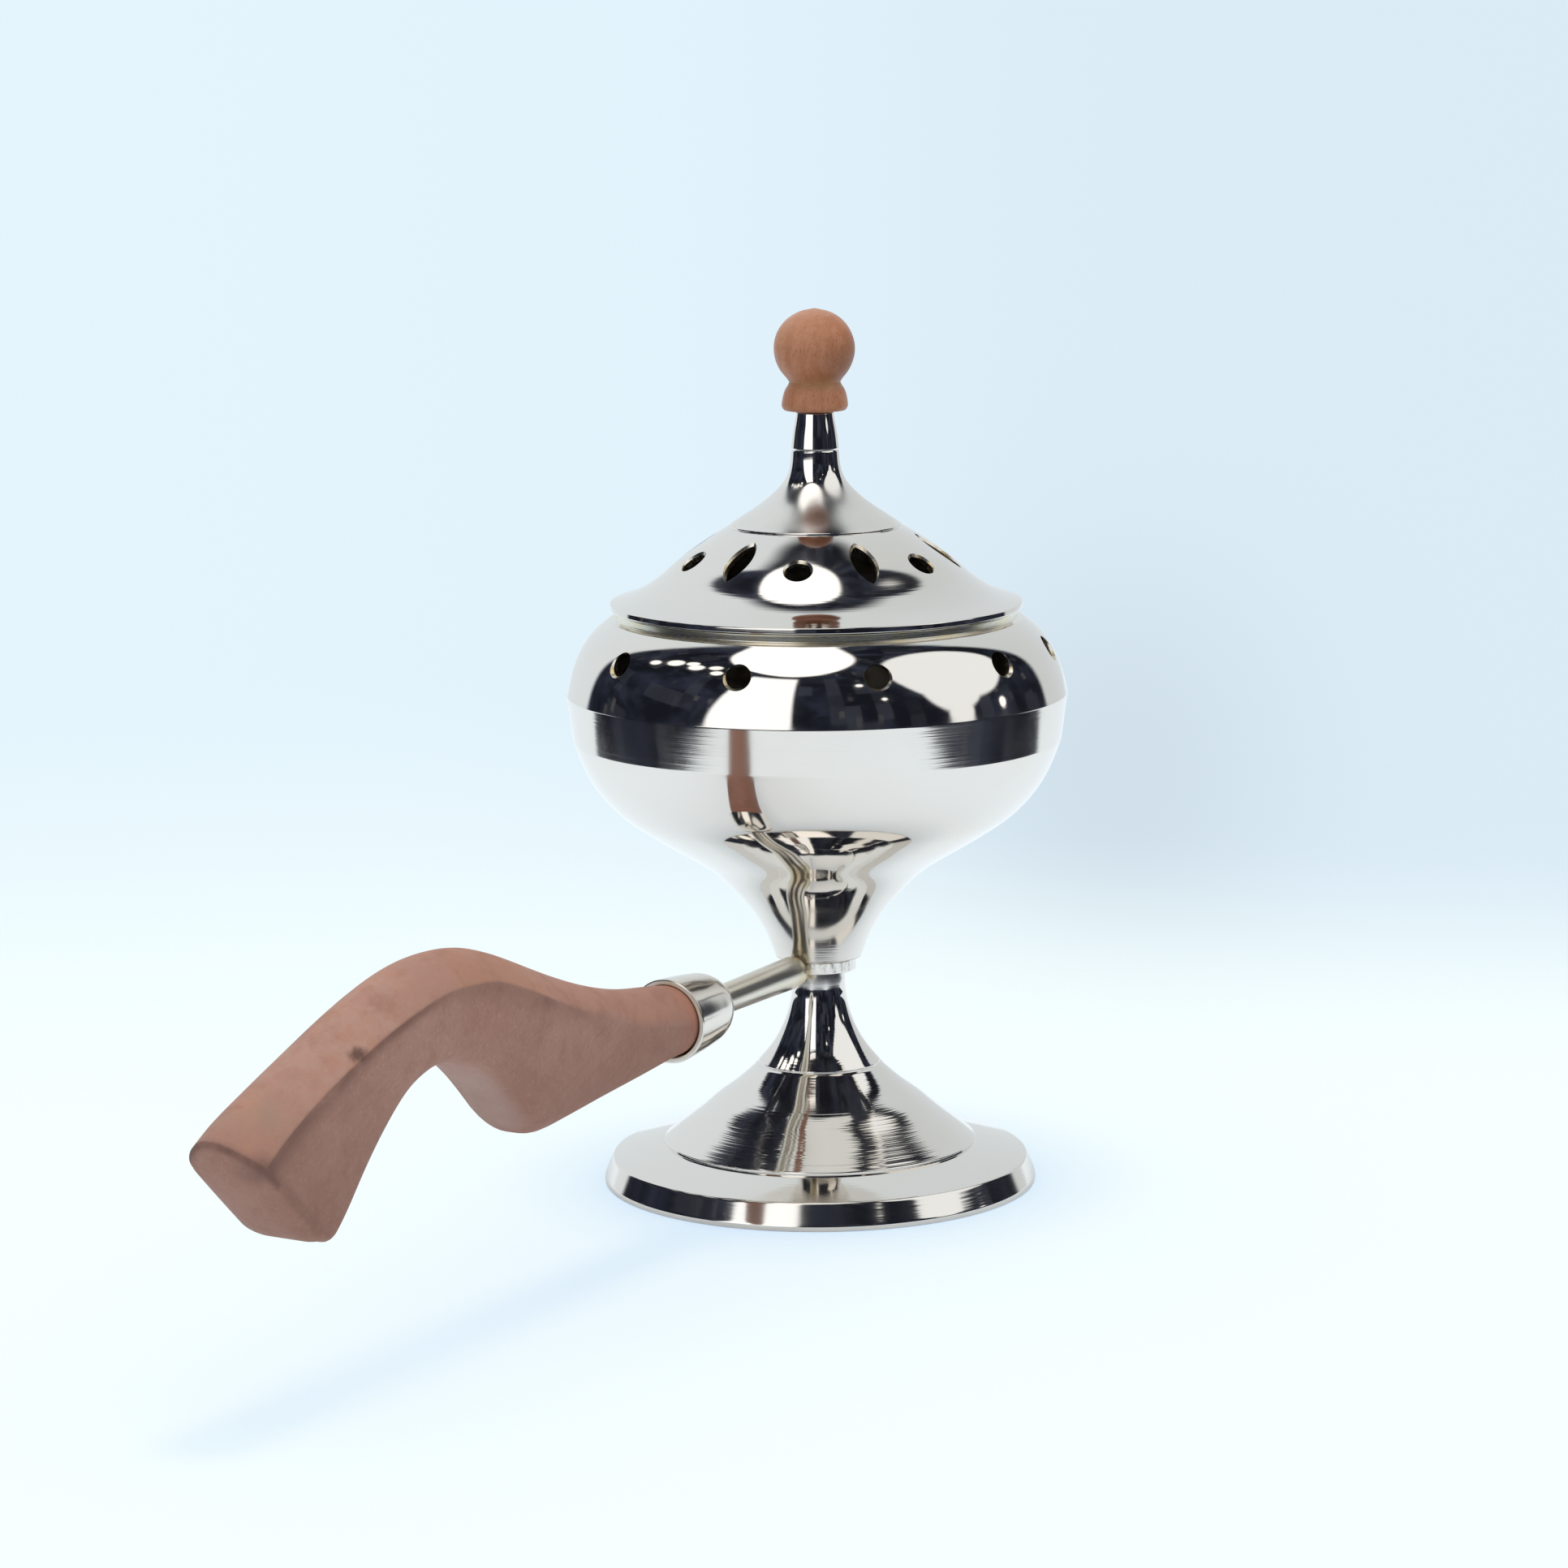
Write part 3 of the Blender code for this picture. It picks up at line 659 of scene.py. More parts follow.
def lip_brass(name, dull=0.16, metal=1.0):
    """A faced edge where the plate has rubbed through to creamy brass."""
    mat, g = material(name)
    x, y, s = g.xyz(g.attr("around"))
    turn = g.noise(g.vec(x * 1.5, y * 1.5, s * 4.0), 1.0, 3.0, 0.6)
    pos = g.position()
    worn = g.noise(pos, 200.0, 3.0, 0.6)
    colour = g.mix(g.ramp(worn, 0.36, 0.62), (0.88, 0.80, 0.58), (0.86, 0.82, 0.72))
    g.principled(Base_Color=colour, Metallic=metal, Roughness=dull + g.ramp(turn, 0.4, 0.7) * 0.08,
                 Normal=g.bump(turn, 0.000004))
    return mat


def raw_brass(name, tint=(0.70, 0.55, 0.30), dull=0.28, rings=1.0, stain=0.4):
    """Unplated brass with turning rings and brown tarnish."""
    mat, g = material(name)
    x, y, s = g.xyz(g.attr("around"))
    fine = g.noise(g.vec(x * 0.8, y * 0.8, s * 3.2), 1.0, 3.0, 0.6)
    pos = g.position()
    tarnish = g.noise(pos, 160.0, 4.0, 0.6, 0.4)
    colour = g.mix(g.ramp(tarnish, 0.42, 0.72) * stain, tint,
                   (tint[0] * 0.42, tint[1] * 0.36, tint[2] * 0.30))
    g.principled(Base_Color=colour, Metallic=1.0,
                 Roughness=dull + g.ramp(tarnish, 0.3, 0.8) * 0.22,
                 Normal=g.bump(fine, 0.00001 * rings))
    return mat


def zinc_steel(name, tint=(0.55, 0.56, 0.57), dull=0.30, passivate=0.25, rings=1.0):
    """Zinc-plated steel hardware: cloudy plate, fine tool lines, a faint yellow
    and blue passivation."""
    mat, g = material(name)
    x, y, s = g.xyz(g.attr("around"))
    line = g.noise(g.vec(x * 2.0, y * 2.0, s * 5.0), 1.0, 3.0, 0.6)
    pos = g.position()
    cloud = g.noise(pos, 260.0, 4.0, 0.6, 0.3)
    grit = g.noise(pos, 3000.0, 2.0, 0.5)
    warm = g.mix(g.ramp(cloud, 0.45, 0.7) * passivate, tint, (0.62, 0.55, 0.38))
    colour = g.mix(g.ramp(cloud, 0.55, 0.3) * passivate * 0.6, warm, (0.42, 0.47, 0.56))
    g.principled(Base_Color=colour, Metallic=1.0,
                 Roughness=dull + cloud * 0.16 + g.ramp(grit, 0.6, 0.8) * 0.1,
                 Normal=g.bump(line * 0.7 + grit * 0.3, 0.000012 * rings))
    return mat


def pan_steel(name):
    """Thin pressed steel pan: drawn satin wall, blue and straw heat colours
    rising from the floor, a little grey ash film and fine scratches."""
    mat, g = material(name)
    x, y, s = g.xyz(g.attr("around"))
    pos = g.position()
    px, py, pz = g.xyz(pos)
    draw = g.noise(g.vec(x * 16.0, y * 16.0, s * 0.25), 1.0, 3.0, 0.6)
    ring = g.noise(g.vec(x * 0.8, y * 0.8, s * 2.0), 1.0, 3.0, 0.6)
    cloud = g.noise(pos, 120.0, 4.0, 0.6, 0.5)
    level = g.ramp(pz + cloud * 0.010, 0.071, 0.092)
    heat = g.mix(level, (0.30, 0.32, 0.42), (0.58, 0.50, 0.38))
    base = g.mix(g.ramp(level + cloud * 0.5, 0.7, 1.3), heat, (0.60, 0.60, 0.60))
    colour = g.mix(g.ramp(cloud, 0.55, 0.72) * 0.35, base, (0.40, 0.39, 0.37))
    g.principled(Base_Color=colour, Metallic=1.0,
                 Roughness=0.24 + g.ramp(cloud, 0.4, 0.75) * 0.25,
                 Normal=g.bump(draw * 0.4 + ring * 0.6, 0.00001))
    return mat


def filed_nickel(name):
    """The eye's edge: plated straight over the coarse upright file strokes."""
    mat, g = material(name)
    x, y, s = g.xyz(g.attr("around"))
    stroke = g.noise(g.vec(x * 34.0, y * 34.0, s * 0.55), 1.0, 3.0, 0.65)
    coarse = g.noise(g.vec(x * 11.0, y * 11.0, s * 0.9), 1.0, 2.0, 0.5)
    pos = g.position()
    grit = g.noise(pos, 2400.0, 2.0, 0.6)
    colour = g.mix(g.ramp(coarse, 0.45, 0.7) * 0.6, NICKEL, NICKEL_WARM)
    g.principled(Base_Color=colour, Metallic=1.0,
                 Roughness=0.12 + g.ramp(stroke, 0.4, 0.7) * 0.14,
                 Normal=g.bump(stroke * 0.6 + coarse * 0.5 + grit * 0.1, 0.00004))
    return mat


def rod_nickel(name):
    """Drawn rod: long soft die lines, and rough yellowish solder by the eye."""
    mat, g = material(name)
    x, y, s = g.xyz(g.attr("around"))
    die = g.noise(g.vec(x * 13.0, y * 13.0, s * 0.05), 1.0, 3.0, 0.6)
    ring = g.noise(g.vec(x * 1.2, y * 1.2, s * 1.6), 1.0, 3.0, 0.6)
    pos = g.position()
    lump = g.noise(pos, 900.0, 3.0, 0.6, 0.4)
    near = g.attr("near", "Fac")
    height = (die * 0.35 + ring * 0.35) * (1.0 - near) + lump * (near * 6.0)
    tone = g.sat(g.ramp(die, 0.40, 0.65) * 0.45 + near * 0.8 + 0.15)
    colour = g.mix(tone, NICKEL, (0.70, 0.61, 0.42))
    g.principled(Base_Color=colour, Metallic=1.0,
                 Roughness=0.28 + near * 0.08 + g.ramp(ring, 0.5, 0.8) * 0.05,
                 Normal=g.bump(height, 0.000009))
    return mat


WOOD_MID = (0.410, 0.206, 0.150)
WOOD_PALE = (0.478, 0.258, 0.192)
WOOD_DARK = (0.300, 0.142, 0.100)


def grip_wood(name):
    """Sanded, unvarnished reddish wood of the grip.  The grain runs straight
    through the block, lengthwise; the side is dusty and mottled, the rubbed top
    is warmer, and dirt lies along the ridge."""
    mat, g = material(name)
    pos = g.position()
    px, py, pz = g.xyz(pos)
    gx = (px * 0.92 + pz * 0.38) * 1000.0
    gz = (pz * 0.92 - px * 0.38) * 1000.0
    gy = py * 1000.0
    grain = g.vec(gx * 0.055, gy * 0.62, gz * 0.62)
    ringy = g.noise(grain, 1.0, 4.0, 0.6, 0.6)
    fibre = g.noise(g.vec(gx * 0.30, gy * 3.0, gz * 3.0), 1.0, 3.0, 0.65)
    pores = g.noise(g.vec(gx * 0.9, gy * 4.2, gz * 4.2), 1.0, 1.0, 0.5)
    cloud = g.noise(pos, 62.0, 3.0, 0.58, 0.3)
    mottle = g.noise(pos, 230.0, 4.0, 0.66, 0.2)
    dust = g.noise(pos, 620.0, 3.0, 0.6)
    speck = g.noise(pos, 1150.0, 2.0, 0.6)
    sand = g.noise(pos, 3600.0, 2.0, 0.6)
    ridge = g.attr("ridge", "Fac")
    top = g.attr("top", "Fac")
    edge = g.attr("edge", "Fac")
    near = g.attr("near", "Fac")
    colour = g.mix(g.ramp(cloud, 0.36, 0.66) * 0.55, WOOD_MID, WOOD_PALE)
    colour = g.mix(g.ramp(ringy, 0.46, 0.70) * 0.22, colour, WOOD_DARK)
    colour = g.mix(g.ramp(mottle, 0.50, 0.70) * 0.34, colour, WOOD_DARK)
    colour = g.mix(g.ramp(mottle, 0.46, 0.26) * 0.30, colour, (0.500, 0.300, 0.232))
    colour = g.mix(g.ramp(fibre, 0.54, 0.74) * 0.07, colour, WOOD_DARK)
    colour = g.mix(g.ramp(pores, 0.63, 0.72) * 0.14, colour, (0.215, 0.100, 0.070))
    colour = g.mix(g.ramp(dust, 0.54, 0.70) * 0.16, colour, (0.520, 0.335, 0.268))
    colour = g.mix(g.ramp(speck, 0.58, 0.72) * 0.26, colour, (0.560, 0.390, 0.325))
    colour = g.mix(g.ramp(speck, 0.42, 0.30) * 0.22, colour, (0.260, 0.122, 0.086))
    along = px * -1000.0 + STEM.x * 1000.0
    # the rubbed top: orange, with paler dusty stretches and browner handling marks
    warm = g.mix(g.ramp(cloud, 0.36, 0.62), (0.560, 0.262, 0.168), (0.470, 0.232, 0.165))
    warm = g.mix(g.ramp(g.noise(pos, 110.0, 3.0, 0.6, 0.4), 0.52, 0.68) * 0.55, warm, (0.360, 0.150, 0.092))
    warm = g.mix(g.band(along, 150.0, 188.0, 9.0) * g.ramp(mottle, 0.35, 0.65) * 0.6,
                 warm, (0.600, 0.365, 0.290))
    warm = g.mix(g.band(along, 112.0, 146.0, 9.0) * g.ramp(cloud, 0.62, 0.38) * 0.5, warm,
                 (0.410, 0.190, 0.112))
    colour = g.mix(top * 0.66, colour, warm)
    stain = g.band(along, 190.0, 200.0, 4.0) * g.ramp(g.noise(pos, 95.0, 3.0, 0.6), 0.36, 0.62) * top
    colour = g.mix(stain * 0.34, colour, (0.350, 0.280, 0.180))
    blotch = g.ramp(g.noise(pos, 80.0, 3.0, 0.6, 0.5), 0.34, 0.60)
    colour = g.mix(g.sat(ridge * (0.38 + blotch * 0.50)), colour, (0.210, 0.100, 0.074))
    colour = g.mix(g.sat(edge * (0.44 + blotch * 0.45)), colour, (0.180, 0.086, 0.062))
    # painted light: the underside where the arch turns down into the heel is painted pale, standing in for light
    # bounced up from the floor
    painted_bounce_light = g.attr("painted_bounce_light", "Fac")
    colour = g.mix(painted_bounce_light * 0.38, colour, (0.640, 0.500, 0.440))
    # painted shade: the wood is darkened towards the bottom, the heel and the end of the leg, where less light
    # reaches it
    low = g.ramp(pz * 1000.0, 60.0, 32.0)
    colour = g.mix(low * 0.34, colour, (0.210, 0.092, 0.062))
    # a pin knot on the ridge, halfway down the leg
    kx, ky, kz = along - 169.3, gy + 6.9, pz * 1000.0 - 60.4
    knot_r = g.m("SQRT", kx * kx * 0.20 + ky * ky * 0.45 + kz * kz * 0.42)
    knot = g.ramp(knot_r + (dust - 0.5) * 1.2, 1.35, 0.25)
    colour = g.mix(knot * 0.78, colour, (0.085, 0.034, 0.026))
    # a dark blotch at the corner where the ridge ends
    kx, ky, kz = along - 198.0, gy + 6.6, pz * 1000.0 - 46.4
    corner_blotch = g.ramp(g.m("SQRT", kx * kx + ky * ky * 0.35 + kz * kz) + (mottle - 0.5) * 2.4, 4.2, 0.6)
    colour = g.mix(corner_blotch * 0.55, colour, (0.170, 0.085, 0.062))
    colour = g.mix(near * 0.50, colour, (0.450, 0.160, 0.105))
    # painted shade: the sides are darkened more than the top
    colour = g.mix(0.11 - top * 0.06, colour, (0.0, 0.0, 0.0))
    # painted shade: where the plating mirrors it, the wood is darkened and reddened, standing in for its side towards
    # the bowl lying in shade
    lp = g.node("ShaderNodeLightPath")
    colour = g.mix(Sock(g, lp.outputs["Is Glossy Ray"]) * 0.50, colour, (0.095, 0.036, 0.026))
    rough = 0.60 + mottle * 0.16 - top * 0.08
    height = fibre * 0.20 + pores * 0.16 + sand * 0.20 + mottle * 0.55 + dust * 0.25
    g.principled(Base_Color=colour, Roughness=rough, Specular_IOR_Level=0.30,
                 Normal=g.bump(height, 0.00012))
    return mat


def knob_wood(name):
    """Turned knob: upright grain with short dark pores, a rubbed oily sheen on the ball whose pale top patches are
    partly a painted highlight, painted light and shade across the ball, and a greenish stain of polish left in the
    groove."""
    mat, g = material(name)
    pos = g.position()
    px, py, pz = g.xyz(pos)
    vx, vy, vz = px * 1000.0, py * 1000.0, pz * 1000.0
    ringy = g.noise(g.vec(vx * 0.42, vy * 0.9, vz * 0.05), 1.0, 3.0, 0.6, 0.5)
    fibre = g.noise(g.vec(vx * 3.6, vy * 3.6, vz * 0.30), 1.0, 3.0, 0.65)
    pores = g.noise(g.vec(vx * 6.0, vy * 6.0, vz * 0.75), 1.0, 1.0, 0.5)
    mottle = g.noise(pos, 320.0, 3.0, 0.6)
    x, y, s = g.xyz(g.attr("around"))
    tool = g.noise(g.vec(x * 0.6, y * 0.6, s * 2.6), 1.0, 2.0, 0.6)
    colour = g.mix(g.ramp(ringy, 0.35, 0.65) * 0.7, (0.450, 0.182, 0.095), (0.580, 0.275, 0.160))
    colour = g.mix(g.ramp(fibre, 0.50, 0.72) * 0.36, colour, (0.300, 0.105, 0.050))
    colour = g.mix(g.ramp(pores, 0.58, 0.66) * 0.60, colour, (0.190, 0.062, 0.030))
    colour = g.mix(g.ramp(mottle, 0.5, 0.75) * 0.30, colour, (0.350, 0.140, 0.074))
    # pale patches on the top of the ball: partly rubbed wear, partly a painted highlight
    rubbed = g.ramp(g.noise(pos, 210.0, 2.0, 0.5), 0.50, 0.70) * g.ramp(vz, 167.0, 172.0)
    colour = g.mix(rubbed * 0.40, colour, (0.640, 0.385, 0.280))
    groove = g.band(vz, 160.7, 162.0, 1.0) * g.ramp(mottle, 0.20, 0.60)
    colour = g.mix(groove * 0.60, colour, (0.330, 0.255, 0.100))
    foot = g.ramp(vz, 156.7, 155.9)
    colour = g.mix(foot * 0.4, colour, (0.220, 0.100, 0.060))
    # painted light and shade: the ball is painted pale towards the upper left and dark low on the right, as the light
    # falls on it
    u = ((vx - STEM.x * 1000.0) * RIGHT[0] + (vy - STEM.y * 1000.0) * RIGHT[1]
         - (vz - 168.0)) * 0.088
    ball = g.ramp(vz, 160.5, 163.0)
    colour = g.mix(g.ramp(u, -0.10, 0.95) * ball * 0.60, colour, (0.030, 0.008, 0.002))
    colour = g.mix(g.ramp(u, -0.10, -0.85) * ball * 0.28, colour, (0.740, 0.400, 0.255))
    colour = g.mix(0.32, colour, (0.430, 0.135, 0.040))
    # painted shade: where the plating mirrors it, the knob is darkened and reddened
    lp = g.node("ShaderNodeLightPath")
    colour = g.mix(Sock(g, lp.outputs["Is Glossy Ray"]) * 0.55, colour, (0.085, 0.030, 0.018))
    height = fibre * 0.35 + pores * 0.30 + tool * 0.30
    g.principled(Base_Color=colour, Roughness=0.33 + mottle * 0.14, Specular_IOR_Level=0.36,
                 Normal=g.bump(height, 0.00009))
    return mat


# ================================================================== the pieces
MATS = {}


def finish_piece(ob, node, body):
    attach(ob, body)
    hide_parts(node)


STAND, PAN_BODY, HANDLE, LID_BODY = "bowl_and_foot", "pan", "handle", "lid"
C = 0.12                                       # common rounding of a turned edge

# ------------------------------------------------------------------------ foot
foot_line = turned_line([
    (3.3, 43.2, C), (5.1, 43.2, 0.2), (5.3, 42.4), (5.4, 38.9), (5.9, 36.2), (6.6, 33.7),
    (7.6, 31.2), (9.1, 28.4), (11.0, 25.9), (12.25, 24.5, 0.10), (12.15, 24.15, 0.06),
    (12.75, 23.75, 0.12), (13.75, 22.8), (17.1, 19.9), (20.8, 17.2), (24.2, 14.3),
    (27.9, 11.4), (31.4, 8.65, 0.12), (31.35, 8.1, 0.06), (32.0, 7.95, 0.16),
    (36.6, 6.75), (41.85, 5.3, 0.35), (43.62, 1.0, 0.35), (43.55, 0.0, 0.2),
    (39.6, 0.0, 0.3), (39.2, 2.6, 0.4), (33.0, 4.8), (29.4, 6.8), (25.6, 10.2),
    (21.8, 13.2), (17.6, 16.2), (14.0, 19.0), (10.8, 22.0), (8.6, 24.4), (7.4, 26.8, 0.2),
    (3.3, 26.8, C)], step=0.8, sigma=1.0)
foot = revolve("foot_turned", foot_line, 192,
               [nickel("foot_nickel", rings=1.0, pitch=1.0, ragged=1.2, rough=0.045,
                       teeth=((4.2, 8.0, 19.0), (1.6, 0.8, 6.0), (1.6, 19.5, 34.0)),
                       satin=((0.05, 0.5, 5.8), (0.20, 40.6, 44.0), (0.03, 8.0, 19.0)))])
finish_piece(foot, "foot", STAND)

# ------------------------------------------------------------------------ bowl
lower = fair(spline([(8.6, 45.9), (9.6, 48.9), (10.75, 51.4), (12.25, 54.0), (14.15, 56.6),
                     (16.6, 59.2), (18.9, 61.8), (22.2, 64.6), (27.2, 67.7), (31.6, 70.3),
                     (35.8, 73.0), (39.3, 75.4), (42.5, 78.6), (45.2, 82.1), (47.3, 86.4),
                     (48.8, 90.5)]), 2.0)
dome = fair(spline([(50.0, 99.7), (49.3, 102.7), (48.2, 106.0), (46.4, 109.6),
                    (44.0, 112.5), (41.2, 114.6)]), 1.6)


def as_points(p, every, lo=0, hi=None):
    p = p[lo:hi]
    n = max(2, int(lengths(p)[-1] / every) + 1)
    return [tuple(q) for q in resample(p, n)]


inner_low = offset_line(lower, 1.4)
inner_low = inner_low[(inner_low[:, 1] > 62.6)]
inner_dome = offset_line(dome, 1.4)
bowl_points = (
    [(8.6, 45.9, 0.25)] + as_points(lower, 2.0)[1:-1] + [(48.8, 90.5, 0.25), (49.4, 95.1),
                                                        (50.0, 99.7, 0.14)]
    + as_points(dome, 2.0)[1:-1] + [(41.2, 114.6, 0.15), (39.9, 115.0, 0.18), (39.9, 116.5, 0.22),
                                    (38.4, 116.5, 0.22), (38.4, 113.9, 0.25)]
    + as_points(inner_dome, 2.5)[::-1][1:-1] + [(48.5, 99.4, 0.4), (47.5, 90.9, 0.4)]
    + as_points(inner_low, 2.5)[::-1][1:-1]
    + [(14.0, 60.6, 0.6), (9.0, 58.5, 0.3), (3.3, 58.5, C), (3.3, 45.9, C)])
bowl_line = turned_line(bowl_points, step=0.85, sigma=1.0)
bowl = revolve("bowl_turned", bowl_line, 192,
               [nickel("bowl_nickel", rings=0.6, pitch=0.9, ragged=0.6, rough=0.04,
                       teeth=((1.5, 89.0, 99.9), (5.0, 44.0, 50.0)),
                       satin=((0.07, 44.0, 59.0), (0.08, 44.0, 49.5), (0.06, 89.5, 100.2)))])
VENT_ANGLES = (4.0, 41.0, 78.0, 114.0, 155.0, 191.0, 224.5, 260.5, 291.0, 327.0)
bowl.data.materials.append(cut_edge("vent_edge"))
bowl.data.materials.append(satin_inside("bowl_inside"))
bowl.data.materials.append(lip_brass("collar_brass", dull=0.27))
carve(bowl, cutter_object("vent_drills", [
    drill((46.5, 109.4), (0.913, 0.407), a, 2.5, 0.5, 6.0) for a in VENT_ANGLES]))
dress_cut(bowl, bowl_line, regions=(((38.4, 113.9), (9.0, 58.5), 2),
                                    ((39.9, 115.05), (39.9, 116.45), 3)))
finish_piece(bowl, "bowl", STAND)

# ------------------------------------------------------------- bolt and washers
PITCH = 1.0


def thread(r, z, theta):
    if r > 3.05 or z > 30.0 or z < 17.1:
        return r, z
    t = ((z / PITCH - theta / math.tau) % 1.0)
    return r - 0.32 * (1.0 - abs(2.0 * t - 1.0)) * min(1.0, (30.0 - z) / 2.0), z


bolt_points = [(0.0, 64.3), (3.4, 64.2), (4.6, 63.75, 0.3), (5.2, 62.9, 0.4), (5.2, 60.3, 0.15),
               (3.0, 60.3, 0.2), (3.0, 30.0, 0.1), (3.0, 17.2, 0.2), (2.4, 16.5, 0.15), (0.0, 16.5)]
bolt_line = turned_line(bolt_points, step=1.2, sigma=0.3, close=False)
shank = [q for q in bolt_line if q[1] > 29.5] + [(3.0, 29.4 - 0.1 * k) for k in range(122)] \
    + [q for q in bolt_line if q[1] < 17.15]
bolt = revolve("stem_bolt_turned", shank, 64, [zinc_steel("bolt_zinc")], warp=thread)
slot_v, slot_f = loft_rings([[(x, y, z) for x, y in ((-7, -0.7), (7, -0.7), (7, 0.7), (-7, 0.7))]
                             for z in (62.5, 66.0)])
carve(bolt, cutter_object("bolt_slot_cut", [(slot_v, slot_f)]))
bolt.data.set_sharp_from_angle(angle=math.radians(35))
finish_piece(bolt, "stem_bolt", STAND)


def washer(name, node, r0, r1, z0, z1, mat, body=STAND, dish=0.0):
    """A stamped washer: its upper edge rolled by the punch, a burr below."""
    line = turned_line([(r0, z1, 0.08), (r1, z1, 0.28), (r1, z0, 0.08), (r0, z0, 0.2)],
                       step=0.5, sigma=0.2)
    lump = wobble((0.012, 3, 0.0, 0.4), (0.008, 7, 0.0, 1.1))

    def warp(r, z, theta):
        return r + (lump(theta, z) if r > (r0 + r1) / 2 else 0.0), z
    ob = revolve(name, line, 72, [mat], warp=warp, sharp=50)
    finish_piece(ob, node, body)
    return ob


washer("bowl_washer_disc", "bowl_washer", 3.3, 7.0, 58.8, 60.0, zinc_steel("bowl_washer_zinc", dull=0.34))
washer("foot_washer_disc", "foot_washer", 3.3, 6.2, 25.3, 26.5, zinc_steel("foot_washer_zinc", dull=0.32))


def spring_washer():
    """A split square-wire ring whose ends stand a little apart."""
    rings, n = [], 90
    a0, a1 = math.radians(7.0), math.radians(353.0)
    for i in range(n + 1):
        f = i / n
        a = a0 + (a1 - a0) * f
        lift = 0.14 * (f - 0.5)
        sec = []
        for rr, zz in ((3.36, 23.62), (3.46, 23.52), (5.28, 23.52), (5.38, 23.62),
                       (5.38, 24.78), (5.28, 24.88), (3.46, 24.88), (3.36, 24.78)):
            lean = (zz - 24.2) * math.tan(math.radians(20.0)) / rr * (1.0 if i in (0, n) else 0.0)
            sec.append((rr * math.cos(a - lean), rr * math.sin(a - lean), zz + lift))
        rings.append(sec)
    v, f = loft_rings(rings)
    arr = np.array(v)
    rad = np.hypot(arr[:, 0], arr[:, 1])
    around = np.stack([arr[:, 0] / rad, arr[:, 1] / rad, rad + arr[:, 2]], axis=1)
    ob = new_piece("spring_washer_split", place_mm(v), f,
                   [zinc_steel("spring_washer_steel", tint=(0.36, 0.36, 0.37), dull=0.38,
                               passivate=0.1)], around)
    ob.data.set_sharp_from_angle(angle=math.radians(30))
    finish_piece(ob, "spring_washer", STAND)


spring_washer()


def hexagon(r, z, theta):
    """A six-sided nut whose corners are taken off by a 30 degree cone."""
    if r < 3.7:
        return r, z
    a = (theta + math.radians(30.0)) % math.radians(60.0) - math.radians(30.0)
    flat = 5.0 / math.cos(a)
    depth = min(z - 18.4, 23.1 - z)
    cone = 5.05 + max(depth, 0.0) * 1.73
    return min(flat, cone, 5.74) * (r / 5.74), z


nut_line = ([(3.3, 22.6), (3.68, 23.1), (4.4, 23.1), (5.74, 23.1)]
            + [(5.74, 23.1 - 0.08 * k) for k in range(1, 7)] + [(5.74, z) for z in (22.0, 20.75, 19.5)]
            + [(5.74, 18.4 + 0.08 * k) for k in range(6, 0, -1)]
            + [(5.74, 18.4), (4.4, 18.4), (3.68, 18.4), (3.3, 18.9), (3.3, 20.7)])
nut = revolve("stem_nut_hex", nut_line, 144, [zinc_steel("nut_zinc", dull=0.26, passivate=0.35)],
              warp=hexagon, sharp=24)
finish_piece(nut, "stem_nut", STAND)

# ------------------------------------------------------------------------- pan
pan_points = [(0.0, 71.75), (22.0, 71.9), (25.6, 72.0), (26.9, 73.2), (30.4, 83.2), (33.2, 91.2),
              (34.1, 91.75), (35.6, 91.9), (36.4, 91.5, 0.2), (36.35, 90.9, 0.2), (35.7, 90.75, 0.15),
              (35.1, 91.0), (34.2, 90.6), (31.5, 83.0), (27.9, 72.0), (27.0, 70.9), (25.6, 70.7),
              (22.0, 70.7), (0.0, 70.75)]
pan_line = turned_line(pan_points, step=0.9, sigma=0.5, close=False)
pan = revolve("charcoal_pan_pressed", pan_line, 160, [pan_steel("pan_heat_steel")])
finish_piece(pan, "charcoal_pan", PAN_BODY)

# --------------------------------------------------------------------- handle
ring_line = turned_line([(3.3, 45.74, 0.1), (7.5, 45.74, 0.16), (7.5, 43.36, 0.16), (3.3, 43.36, 0.1)],
                        step=0.35, sigma=0.2)
filed = wobble((0.035, 9, 0.4, 0.2), (0.022, 23, 0.9, 1.3), (0.016, 41, -0.6, 0.7), (0.03, 5, 0.0, 2.0))


def file_marks(r, z, theta):
    return (r - 0.04 + filed(theta, z), z) if r > 7.0 else (r, z)


eye = revolve("eye_ring_filed", ring_line, 256, [filed_nickel("eye_filed_nickel")], warp=file_marks)
finish_piece(eye, "eye_ring", HANDLE)

rod_line = [(0.0, 7.66)] + turned_line(
    [(1.4, 7.66), (2.7, 8.9), (3.15, 10.6), (3.2, 12.6), (3.1, 20.0), (2.86, 41.0, 0.12),
     (2.0, 41.15, 0.12), (2.0, 94.0, 0.1), (1.2, 94.98, 0.1)],
    step=0.5, sigma=0.5, close=False) + [(0.0, 94.98)]
lumps = wobble((0.10, 3, 1.4, 0.3), (0.07, 5, -2.1, 1.7), (0.05, 8, 3.0, 0.5), (0.04, 2, 4.1, 2.2))


def solder(r, z, theta):
    f = max(0.0, 1.0 - (z - 7.6) / 6.0) if z > 7.7 and r > 0.5 else 0.0
    r += (lumps(theta, z) - 0.06) * f
    # flat on top, clear of the bowl's neck
    up, room = math.cos(theta), 1.15 + max(0.0, z - 8.95) * 2.4
    if up > 0.2 and z < 10.5:
        r = min(r, room / up)
    return r, z


